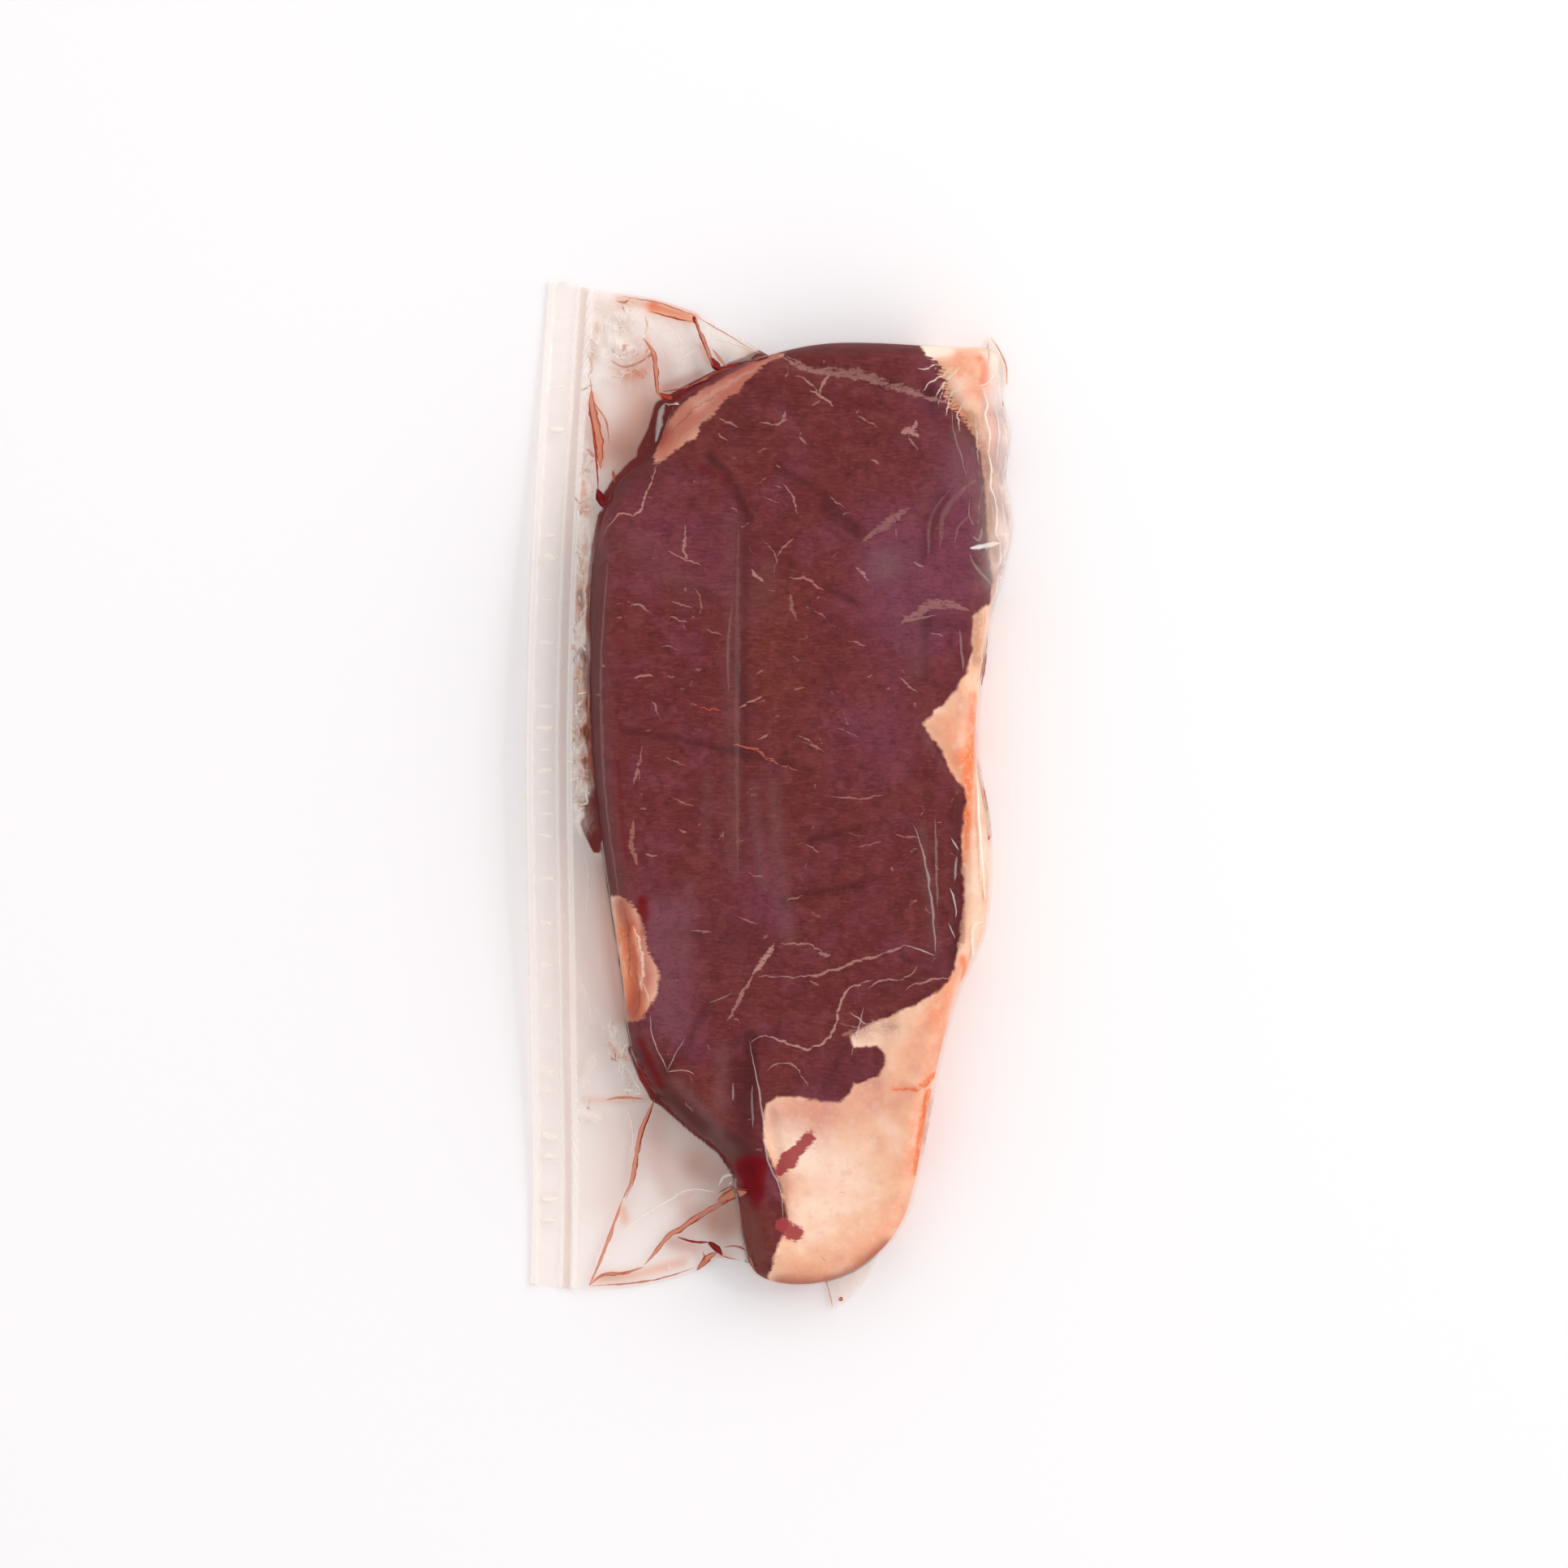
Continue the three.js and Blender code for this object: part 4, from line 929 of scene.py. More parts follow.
def newTree(name, inputs):
    tree = bpy.data.node_groups.new(name, "GeometryNodeTree")
    tree.interface.new_socket("start", in_out="INPUT", socket_type="NodeSocketGeometry")
    for key, kind in inputs.items():
        tree.interface.new_socket(key, in_out="INPUT", socket_type="NodeSocket" + kind)
    tree.interface.new_socket("result", in_out="OUTPUT", socket_type="NodeSocketGeometry")
    return tree, addNode(tree, "NodeGroupInput", out="all")


# realized, with its material, to the tree's output
def endTree(tree, given, geometry):
    geometry = addNode(tree, "GeometryNodeRealizeInstances", {"Geometry": geometry})
    geometry = addNode(tree, "GeometryNodeSetMaterial", {"Geometry": geometry, "Material": given["material"]})
    addNode(tree, "NodeGroupOutput", {"result": geometry})
    return tree


# a strip's section, how it thins at its ends, and how it is dropped on the surface
stripSize = {
    "sides": 12, "taper": 0.6, "thinnest": 0.05, "narrow": 0.28, "broad": 0.66,
    "dropFrom": 0.1, "dropLength": 0.2, "steepest": 0.25,  # steepest is the upright part of the surface's normal
}


# a lens-shaped strip along each path, laid on a surface from above
def stripTree():
    size = stripSize
    tree, given = newTree("strips on a surface", {
        "surface": "Collection", "step": "Float", "wander": "Float", "scale": "Float", "lift": "Float",
        "crown": "Float", "seed": "Int", "material": "Material",
    })
    place = addNode(tree, "GeometryNodeInputPosition")
    wide = addNode(tree, "GeometryNodeInputNamedAttribute", {"Name": "wide"}, data_type="FLOAT")
    uneven = addNode(tree, "ShaderNodeTexNoise", {
        "Vector": place, "W": given["seed"], "Scale": given["scale"], "Detail": 3.0,
    }, out="all", noise_dimensions="4D")
    aside = addNode(tree, "ShaderNodeVectorMath", {0: uneven["Color"], 1: (0.5, 0.5, 0.5)}, operation="SUBTRACT")
    aside = addNode(tree, "ShaderNodeVectorMath", {0: aside, "Scale": given["wander"]}, operation="SCALE")
    curve = addNode(tree, "GeometryNodeMeshToCurve", {"Mesh": given["start"]})
    curve = addNode(tree, "GeometryNodeResampleCurve", {"Curve": curve, "Length": given["step"]}, mode="LENGTH")
    curve = addNode(tree, "GeometryNodeSetPosition", {"Geometry": curve, "Offset": aside})
    # thin at both ends, uneven between them
    share = addNode(tree, "GeometryNodeSplineParameter", out="Factor")
    taper = addNode(tree, "ShaderNodeMath", {0: share, 1: math.pi}, operation="MULTIPLY")
    taper = addNode(tree, "ShaderNodeMath", {0: taper}, operation="SINE")
    taper = addNode(tree, "ShaderNodeMath", {0: taper, 1: size["taper"]}, operation="POWER")
    taper = addNode(tree, "ShaderNodeMath", {0: taper, 1: size["thinnest"]}, operation="MAXIMUM")
    radius = addNode(tree, "ShaderNodeMapRange",
                     {0: uneven["Fac"], 1: 0.3, 2: 0.7, 3: size["narrow"], 4: size["broad"]})
    for factor in (wide, taper):
        radius = addNode(tree, "ShaderNodeMath", {0: radius, 1: factor}, operation="MULTIPLY")
    curve = addNode(tree, "GeometryNodeSetCurveNormal", {"Curve": curve}, mode="Z_UP")
    lens = addNode(tree, "GeometryNodeCurvePrimitiveCircle", {"Resolution": size["sides"], "Radius": 1.0})
    across = addNode(tree, "ShaderNodeSeparateXYZ", {0: place}, out="all")
    for name, value in (("across", across["X"]), ("above", across["Y"])):
        lens = addNode(tree, "GeometryNodeStoreNamedAttribute", {"Geometry": lens, "Name": name, "Value": value},
                       data_type="FLOAT", domain="POINT")
    strip = addNode(tree, "GeometryNodeCurveToMesh",
                    {"Curve": curve, "Profile Curve": lens, "Scale": radius, "Fill Caps": True})
    # every point drops to the surface, and stands as high over it as the lens is thick there
    skin = addNode(tree, "GeometryNodeCollectionInfo", {"Collection": given["surface"]})
    skin = addNode(tree, "GeometryNodeRealizeInstances", {"Geometry": skin})
    where = addNode(tree, "ShaderNodeSeparateXYZ", {0: place}, out="all")
    start = addNode(tree, "ShaderNodeCombineXYZ", {"X": where["X"], "Y": where["Y"], "Z": size["dropFrom"]})
    hit = addNode(tree, "GeometryNodeRaycast", {
        "Target Geometry": skin, "Source Position": start,
        "Ray Direction": (0, 0, -1), "Ray Length": size["dropLength"],
    }, out="all")
    level = addNode(tree, "ShaderNodeSeparateXYZ", {0: hit["Hit Position"]}, out="Z")
    above = addNode(tree, "GeometryNodeInputNamedAttribute", {"Name": "above"}, data_type="FLOAT")
    rise = addNode(tree, "ShaderNodeMath",
                   {0: above, 1: given["crown"], 2: given["lift"]}, operation="MULTIPLY_ADD")
    level = addNode(tree, "ShaderNodeMath", {0: level, 1: rise}, operation="ADD")
    landed = addNode(tree, "ShaderNodeCombineXYZ", {"X": where["X"], "Y": where["Y"], "Z": level})
    strip = addNode(tree, "GeometryNodeSetPosition",
                    {"Geometry": strip, "Selection": hit["Is Hit"], "Position": landed})
    # what passes beside the surface goes, as a miss has no normal, and so does what would hang down a wall
    facing = addNode(tree, "ShaderNodeSeparateXYZ", {0: hit["Hit Normal"]}, out="Z")
    astray = addNode(tree, "FunctionNodeCompare",
                     {"A": facing, "B": size["steepest"]}, data_type="FLOAT", operation="LESS_THAN")
    strip = addNode(tree, "GeometryNodeDeleteGeometry", {"Geometry": strip, "Selection": astray}, domain="POINT")
    return endTree(tree, given, strip)


# how much ribs and grains differ in size, least and most, and the noise that bends them
ribSpread = {"least": (0.5, 0.6, 0.7), "most": (1.0, 1.4, 1.2), "scale": 260.0, "detail": 1.0, "bow": 3 * mm}
grainSpread = {"least": (0.4, 0.5, 0.6), "most": (1.4, 1.3, 1.0), "scale": 420.0, "detail": 2.0}
sizeInputs = {"long": "Float", "thick": "Float", "rise": "Float", "tilt": "Float"}


# a unit sample stretched to its size and set on each point, turned, grown and bent by chance
def sown(tree, given, points, sample, spread, bend):
    size = addNode(tree, "ShaderNodeCombineXYZ", {"X": given["long"], "Y": given["thick"], "Z": given["rise"]})
    sample = addNode(tree, "GeometryNodeTransform", {"Geometry": sample, "Scale": size})
    backTilt = addNode(tree, "ShaderNodeMath", {0: given["tilt"], 1: -1.0}, operation="MULTIPLY")
    turn = addNode(tree, "FunctionNodeRandomValue",
                   {"Min": backTilt, "Max": given["tilt"], "Seed": given["seed"]}, data_type="FLOAT")
    turn = addNode(tree, "FunctionNodeEulerToRotation", {0: addNode(tree, "ShaderNodeCombineXYZ", {"Z": turn})})
    grow = addNode(tree, "FunctionNodeRandomValue", {
        "Min": spread["least"], "Max": spread["most"], "Seed": given["seed"],
    }, data_type="FLOAT_VECTOR")
    whole = addNode(tree, "GeometryNodeInstanceOnPoints",
                    {**points, "Instance": sample, "Rotation": turn, "Scale": grow})
    whole = addNode(tree, "GeometryNodeRealizeInstances", {"Geometry": whole})
    stir = addNode(tree, "ShaderNodeTexNoise",
                   {"Scale": spread["scale"], "Detail": spread["detail"]}, out="Color")
    stir = addNode(tree, "ShaderNodeVectorMath", {0: stir, 1: (0.5, 0.5, 0.5)}, operation="SUBTRACT")
    stir = addNode(tree, "ShaderNodeVectorMath", {0: stir, 1: bend}, operation="MULTIPLY")
    return addNode(tree, "GeometryNodeSetPosition", {"Geometry": whole, "Offset": stir})


# ridges across a band, at random places along it
def ribTree():
    tree, given = newTree("ribs across a band",
                          {"spacing": "Float", **sizeInputs, "seed": "Int", "material": "Material"})
    often = addNode(tree, "GeometryNodeInputNamedAttribute", {"Name": "often"}, data_type="FLOAT")
    chosen = addNode(tree, "FunctionNodeRandomValue",
                     {"Probability": often, "Seed": given["seed"]}, data_type="BOOLEAN")
    rib = addNode(tree, "GeometryNodeMeshUVSphere", {"Segments": 14, "Rings": 8, "Radius": 0.5}, out="Mesh")
    line = addNode(tree, "GeometryNodeMeshToCurve", {"Mesh": given["start"]})
    line = addNode(tree, "GeometryNodeResampleCurve", {"Curve": line, "Length": given["spacing"]}, mode="LENGTH")
    bend = (0.0, ribSpread["bow"], 0.0)
    return endTree(tree, given, sown(tree, given, {"Points": line, "Selection": chosen}, rib, ribSpread, bend))


# grains over a surface, as often as its own chance attribute says
def scatterTree():
    tree, given = newTree("grains on a surface", {
        "density": "Float", **sizeInputs, "bend": "Float", "seed": "Int", "material": "Material",
    })
    chance = addNode(tree, "GeometryNodeInputNamedAttribute", {"Name": "chance"}, data_type="FLOAT")
    density = addNode(tree, "ShaderNodeMath", {0: chance, 1: given["density"]}, operation="MULTIPLY")
    spots = addNode(tree, "GeometryNodeDistributePointsOnFaces", {
        "Mesh": given["start"], "Density": density, "Seed": given["seed"],
    }, distribute_method="RANDOM")
    grain = addNode(tree, "GeometryNodeMeshIcoSphere", {"Radius": 0.5, "Subdivisions": 2}, out="Mesh")
    bend = addNode(tree, "ShaderNodeCombineXYZ", {"X": given["bend"], "Y": given["bend"]})
    return endTree(tree, given, sown(tree, given, {"Points": spots}, grain, grainSpread, bend))


# runs a tree on an object with those of the values that it has an input for, and keeps a plain mesh
def grown(name, start, tree, **values):
    modifier = start.modifiers.new("grow", "NODES")
    modifier.node_group = tree
    for item in tree.interface.items_tree:
        if item.in_out == "INPUT" and item.name in values:
            modifier[item.identifier] = values[item.name]
    result = bpy.data.meshes.new_from_object(start.evaluated_get(bpy.context.evaluated_depsgraph_get()))
    start.modifiers.remove(modifier)
    bpy.data.objects.remove(start)
    piece = bpy.data.objects.new(name, result)
    result.name = name
    bpy.context.scene.collection.objects.link(piece)
    return closeUp(piece)


# one polyline for each stroke, with the stroke's numbers on all its points
def strokeMesh(strokes, fields):
    verts, edges = [], []
    numbers = {name: [] for name in fields}
    for *values, path in strokes:
        count = max(3, 4 * len(path))
        line = smoothPath(path if len(path) > 1 else [path[0], (path[0][0] + 0.6, path[0][1] + 0.2)], count)
        edges += [(len(verts) + i, len(verts) + i + 1) for i in range(count - 1)]
        verts += [(x, y, 0) for x, y in line]
        for name, value in zip(fields, values):
            numbers[name] += [value] * count
    obj = meshOf("strokes", verts, [], edges)
    paint(obj, **{name: np.array(values) * (mm if name == "wide" else 1) for name, values in numbers.items()})
    return obj


def fieldOf(obj, name):
    values = np.empty(len(obj.data.vertices), np.float32)
    obj.data.attributes[name].data.foreach_get("value", values)
    return values


# a copy of a piece's mesh, for grains to be sown on
def seedbedOf(obj):
    seedbed = bpy.data.objects.new("seedbed", obj.data.copy())
    bpy.context.scene.collection.objects.link(seedbed)
    return seedbed


strips = stripTree()
grains = scatterTree()

# marbling and the seams of white tissue between muscles: width in mm, strength, warmth, path
marblingSize = {
    "step": 0.4 * mm, "wander": 2.4 * mm, "scale": 420.0, "lift": -0.02 * mm, "crown": 0.07 * mm, "seed": 4,
    "seams": [
        (3.4, 0.44, 0.0, [(2.8, 106.4), (6.8, 103.6), (13.8, 102.6), (21.8, 101.6), (30.8, 98.6), (37.8, 96.2),
            (44.2, 94.6)]),
        (1.2, 0.4, 0.0, [(3.4, 106.8), (8, 103.8), (13, 103.2)]),
        (1.0, 0.35, 0.0, [(13, 102.8), (20, 102.6), (27, 100.4)]),
        (3.2, 0.28, 0.1, [(22, 61.2), (27.6, 65.4), (33.6, 69.2)]),
        (3.4, 0.36, 0.1, [(30.8, 41.2), (34.6, 43), (39, 46), (43.6, 45.6), (48, 44.6)]),
        (1.0, 0.4, 0.0, [(31, 41.4), (35.4, 42.4), (40, 43.4)]),
        (2.6, 0.75, 0.0, [(0.8, -36.2), (-1.8, -40.4), (-4.6, -44)]),
        (1.6, 0.5, 0.0, [(-4.4, -43.6), (-6.6, -47.6), (-10.8, -55.4)]),
        (1.6, 0.5, 0.0, [(-20, 93), (-15, 97), (-10, 99.8), (-3, 104.2)]),
        (0.9, 0.45, 0.0, [(-24, 84), (-19, 89), (-14, 93)]),
        (0.9, 0.4, -1.0, [(-26, 92), (-20, 97), (-12, 101.6), (-5, 105)]),
        (0.8, 0.3, -1.0, [(-24.4, 88), (-19, 93.4), (-12, 97.8)]),
        (1.0, 0.35, -1.0, [(-35.6, -28), (-34.6, -36), (-34.8, -46)]),
        (0.9, 0.3, -1.0, [(-33.4, -42), (-32, -50), (-33.6, -54.6)]),
        (1.1, 0.5, 2.0, [(-33.6, -32), (-31.4, -39), (-31.6, -48)]),
        (0.6, 0.4, 2.0, [(-32.4, -44), (-30.4, -48), (-30, -51)]),
        (0.9, 0.6, 2.0, [(46, 104), (42, 100), (39.6, 96)]),
        (0.7, 0.6, 2.0, [(44, 103.4), (39.8, 100.6), (36.4, 98)]),
        (0.8, 0.6, 2.0, [(46.4, 100), (43.4, 96.4), (42.4, 91.6)]),
        (0.6, 0.5, 2.0, [(42, 105.6), (38, 103.4), (35.4, 103)]),
        (0.6, 0.6, 2.0, [(47, 96), (45.2, 92), (46, 88)]), (0.5, 0.5, 2.0, [(43, 102), (41.6, 98), (40.6, 94)]),
        (0.8, 0.5, 2.0, [(49.4, 92), (49.8, 86), (50.6, 80)]),
        (1.0, 0.6, 0.0, [(-3.4, -44), (5, -44.6), (12.6, -43.4), (20.2, -40.8), (26, -39.2), (31.4, -37),
            (39.4, -38.8)]),
        (0.8, 0.5, 0.0, [(2.2, -36.2), (9.6, -36.6), (13.4, -39.2)]),
        (1.6, 0.5, 0.0, [(11.4, -38.6), (14.6, -39)]),
        (1.0, 0.75, 0.0, [(-5.4, -60), (-0.8, -58.8), (4.2, -60.8), (8.8, -61.8), (12.6, -60.4), (15.6, -56.2),
            (16.4, -50.8), (19, -47), (24.8, -45)]),
        (0.8, 0.6, 0.0, [(23.2, -47.6), (26.4, -45.4), (31.8, -45), (35.6, -41.6)]),
        (0.9, 0.6, 0.0, [(32.4, -47.6), (37.4, -45.4), (43.2, -45)]),
        (0.7, 0.5, 0.0, [(-1.2, -67.6), (1, -65.6), (5.6, -66), (8.8, -71.4)]),
        (0.8, 0.7, 0.0, [(-27.6, 80.4), (-30.2, 73), (-33.2, 67.4), (-36.8, 68.2), (-41, 63)]),
        (2.2, 0.85, 0.0, [(-25.6, 96.8), (-23, 95.2)]),
        (2.6, 0.85, 0.0, [(-25.2, 95), (-26.4, 91), (-28, 86.6)]),
        (4.5, 0.4, 0.1, [(17, -58.4), (21, -57.4), (25.8, -56), (31, -56.8)]),
    ],
    "flecks": [
        (1.2, 0.6, 0.0, [(14.8, 102.6), (12.4, 99.4), (11.4, 96.6)]),
        (1.1, 0.7, 0.0, [(9.0, 98), (12.4, 96.2), (14.8, 94)]),
        (0.8, 0.5, 0.0, [(11.4, 97), (8.6, 100), (5.6, 101.4)]), (0.7, 0.5, 0.0, [(12, 96), (9.4, 94.2)]),
        (2.4, 0.7, 0.0, [(31, 87.6), (33.4, 88), (35.8, 86.4)]), (1.4, 0.65, 0.0, [(34.9, 90.6), (34.2, 87.4)]),
        (0.9, 0.5, 0.0, [(33, 87), (35.6, 83.4)]), (0.8, 0.6, 0.1, [(3, 75.4), (5.2, 71.6), (6.4, 67.6)]),
        (1.2, 0.6, 0.1, [(-20.6, 65.2), (-21.2, 59.6), (-20, 56.2)]),
        (0.8, 0.55, 0.3, [(-25.4, 59), (-21, 57), (-17, 55.6)]), (1.5, 0.75, 0.1, [(-4.6, 54.6), (-2.4, 51.6)]),
        (1.1, 0.6, 0.4, [(4, 52.2), (8, 52.2), (12.6, 49.2)]), (1.4, 0.6, 0.1, [(20.6, 55.2), (23.4, 51.6)]),
        (0.8, 0.6, 0.1, [(-35, 46.6), (-32, 45.4), (-29, 44)]),
        (1.1, 0.6, 0.2, [(-33.4, 28), (-31, 28.6), (-28.8, 28.2)]),
        (1.0, 0.65, 0.3, [(-7.8, 21.2), (-4.6, 22.4), (-2.2, 23.8)]),
        (0.7, 0.5, 0.2, [(-29, 23), (-26.6, 17.6)]), (0.9, 0.55, 0.0, [(31, 28.2), (35.2, 24.8)]),
        (1.0, 0.6, 0.7, [(-9.6, 12), (-4, 10.6), (0.8, 8.2)]), (0.8, 0.45, 0.3, [(7, 12.8), (13.6, 10.2)]),
        (0.7, 0.4, 0.1, [(14.4, -0.6), (21, -1), (28.4, -0.2)]),
        (1.0, 0.5, 0.2, [(-33.4, 2), (-32.6, 6), (-31.4, 8.6)]), (0.8, 0.55, 0.0, [(-12.8, 91), (-8, 89)]),
        (0.9, 0.5, 0.0, [(-3, 90.2), (0.6, 89.6), (3.4, 91)]), (1.2, 0.5, 0.0, [(2.2, 90.2), (3.4, 92.6)]),
        (0.7, 0.45, 0.0, [(20.4, 92), (25.8, 89)]), (1.1, 0.5, 0.0, [(34.6, 56.4), (36.8, 55)]),
        (0.9, 0.5, 0.3, [(1.6, 57.6), (3.2, 60), (5.8, 62.4)]), (1.6, 0.3, 0.2, [(4.4, 48.6), (5.8, 42)]),
        (0.7, 0.45, 0.1, [(-24.4, 47), (-19.2, 44.8)]), (0.9, 0.5, 0.1, [(-24.8, 43.2), (-20.4, 41.6)]),
        (0.7, 0.6, 1.0, [(-17.8, 20.6), (-12.2, 20.6)]), (0.6, 0.45, 0.0, [(18.6, 36.8), (23.8, 35.8)]),
        (0.8, 0.45, 0.0, [(38.6, 39), (41.6, 38)]),
        (2.0, 0.4, 0.3, [(-33.4, -6.4), (-34, -12), (-32.8, -17.6)]),
        (0.7, 0.5, 0.1, [(-23, -9), (-20.4, -9.4)]), (0.7, 0.5, 0.1, [(-30.8, -14.4), (-27.8, -15.4)]),
        (0.7, 0.4, 0.1, [(29.8, -10.2), (35.8, -10.4)]), (0.6, 0.5, 0.1, [(-5.8, -19.2), (-2.2, -20.2)]),
        (0.8, 0.4, 0.1, [(-19.6, -33.2), (-14.4, -33.6)]), (0.7, 0.5, 0.0, [(24, 81.4), (26.2, 79.8)]),
        (0.8, 0.45, 0.0, [(6.4, 86.8), (8.4, 85)]), (0.7, 0.45, 0.0, [(-13.2, 87.8), (-10.6, 85.8)]),
        (0.9, 0.4, 0.0, [(1, 80), (2.2, 79)]), (0.6, 0.4, 0.1, [(-16, 40), (-12, 38.4)]),
        (0.6, 0.4, 0.3, [(-24, -1), (-19, -3)]), (0.6, 0.4, 0.2, [(8, -12), (12, -14.4)]),
        (0.6, 0.35, 0.2, [(16, 16), (21, 14)]), (0.5, 0.45, 1.0, [(16.4, -97.4), (18.2, -97)]),
        (0.5, 0.45, 1.0, [(12.2, -112.4), (13, -114)]),
        (0.9, 0.6, 0.9, [(37.4, -73), (36.8, -82), (35.4, -91.4)]),
        (0.8, 0.5, 0.9, [(29.8, -71.6), (35, -72), (39.6, -70.6)]), (1.0, 0.7, 1.0, [(37, -71.8), (38.8, -70)]),
        (0.6, 0.5, 0.3, [(-19, 50), (-17, 46.6), (-17.4, 43)]), (0.6, 0.4, 0.1, [(-27, 36), (-22.4, 35)]),
        (0.6, 0.4, 0.1, [(10, 44), (13.4, 42.4)]), (0.7, 0.5, 0.6, [(-3, 10), (2.4, 6.6), (6, 5.8)]),
        (0.7, 0.5, 0.1, [(-3.4, 13), (0, 15)]), (0.6, 0.45, 0.1, [(6, 14.4), (9.6, 12.4), (11, 10.4)]),
        (0.6, 0.4, 0.1, [(14, 72), (18, 69)]), (0.6, 0.4, 0.3, [(-2, 62), (1, 57.4), (0.4, 53)]),
        (0.6, 0.4, 0.1, [(-31, 12), (-32.4, 7), (-32, 3)]), (0.5, 0.4, 0.2, [(-26, 8.6), (-21, 7)]),
        (0.7, 0.4, 0.2, [(3, -26), (8, -24.6)]), (0.6, 0.4, 0.1, [(-8, -30), (-3, -31.6)]),
        (0.6, 0.4, 0.1, [(20, -13), (27, -11.6)]), (0.5, 0.4, 0.2, [(-2, 72), (2, 70.4)]),
    ],
}

print("marbling: strips on the cut face")
strokes = strokeMesh(marblingSize["seams"] + marblingSize["flecks"], ("wide", "strength", "warm"))
marbling = grown("fat_marbling", strokes, strips, surface=meatSkin, material=beef, **marblingSize)
paintMeat(marbling)
paint(marbling, fleck=1 - fieldOf(marbling, "across") ** 2)

fleckSize = {
    "density": 15000.0, "long": 2.4 * mm, "thick": 0.5 * mm, "rise": 0.1 * mm, "tilt": 1.3,
    "bend": 3.0 * mm, "seed": 12,
    "offFat": (-1, -4), "underFace": 0.5, "clumpSize": 22, "clumpReach": (-0.2, 0.5), "fewest": 0.25,
}
fleckLook = {"fleck": 0.7, "strength": 0.35, "warm": 0.2}

print("marbling: fine flecks")
seedbed = seedbedOf(steak)
seedPoints = planOf(seedbed)
onTop = seedPoints[:, 2] > steakSize["height"] - fleckSize["underFace"]
lean = smoothStep(*fleckSize["offFat"], fieldOf(seedbed, "fatDepth")) * onTop
clumped = unevenness(seedPoints[:, 0], seedPoints[:, 1], fleckSize["clumpSize"], 3.3, 2)
clumped = smoothStep(*fleckSize["clumpReach"], clumped)
paint(seedbed, chance=lean * (fleckSize["fewest"] + (1 - fleckSize["fewest"]) * clumped))
flecks = grown("fat_flecks", seedbed, grains, material=beef, **fleckSize)
unpaint(flecks, ("fatDepth", "chance", *meatTones))
paintMeat(flecks)
paint(flecks, **fleckLook)

# loose corners of film past the tail and at the head
flapSize = {
    "thickness": 0.4, "floor": 0.5, "around": 60, "rows": 16, "milkAndHighlight": 0.22, "ripple": (0.4, 5),
    "outlines": [
        [(12, -117), (13.8, -122.6), (15.2, -127.4), (17.4, -126.4), (24, -119.4), (26, -113), (19, -111)],
        [
            (49, 104), (52.6, 108), (53.4, 111), (53.8, 113.4), (54.4, 113.4), (56.2, 110.4), (58, 106.8),
            (58.2, 101), (54, 99),
        ],
    ],
}


# a thin closed sheet over an outline, in rings from the middle of its underside,
# round its edge, to the middle of its top
def flapMesh(outline):
    edge = smoothPath(outline, flapSize["around"], closed=True)
    middle = edge.mean(axis=0)
    spread = np.linspace(0, 1, flapSize["rows"])
    plan = np.vstack([middle + (edge - middle) * share for share in np.r_[spread, spread[::-1]]])
    rippleDepth, rippleSize = flapSize["ripple"]
    level = flapSize["floor"] + rippleDepth * (1 + unevenness(plan[:, 0], plan[:, 1], rippleSize, 6.6, 2))
    level += np.repeat([0, flapSize["thickness"]], len(plan) // 2)
    return np.column_stack([plan, level]), ringFaces(2 * flapSize["rows"], len(edge))


print("film: loose corners")
flapVerts, flapFaces = [], []
for outline in flapSize["outlines"]:
    verts, faces = flapMesh(outline)
    base = sum(len(part) for part in flapVerts)
    flapVerts.append(verts)
    flapFaces += [tuple(base + corner for corner in face) for face in faces]
flaps = closeUp(meshOf("film_corners", np.vstack(flapVerts), flapFaces))
paint(flaps, haze=flapSize["milkAndHighlight"])
flaps.data.materials.append(film)
filmSkin.objects.link(flaps)

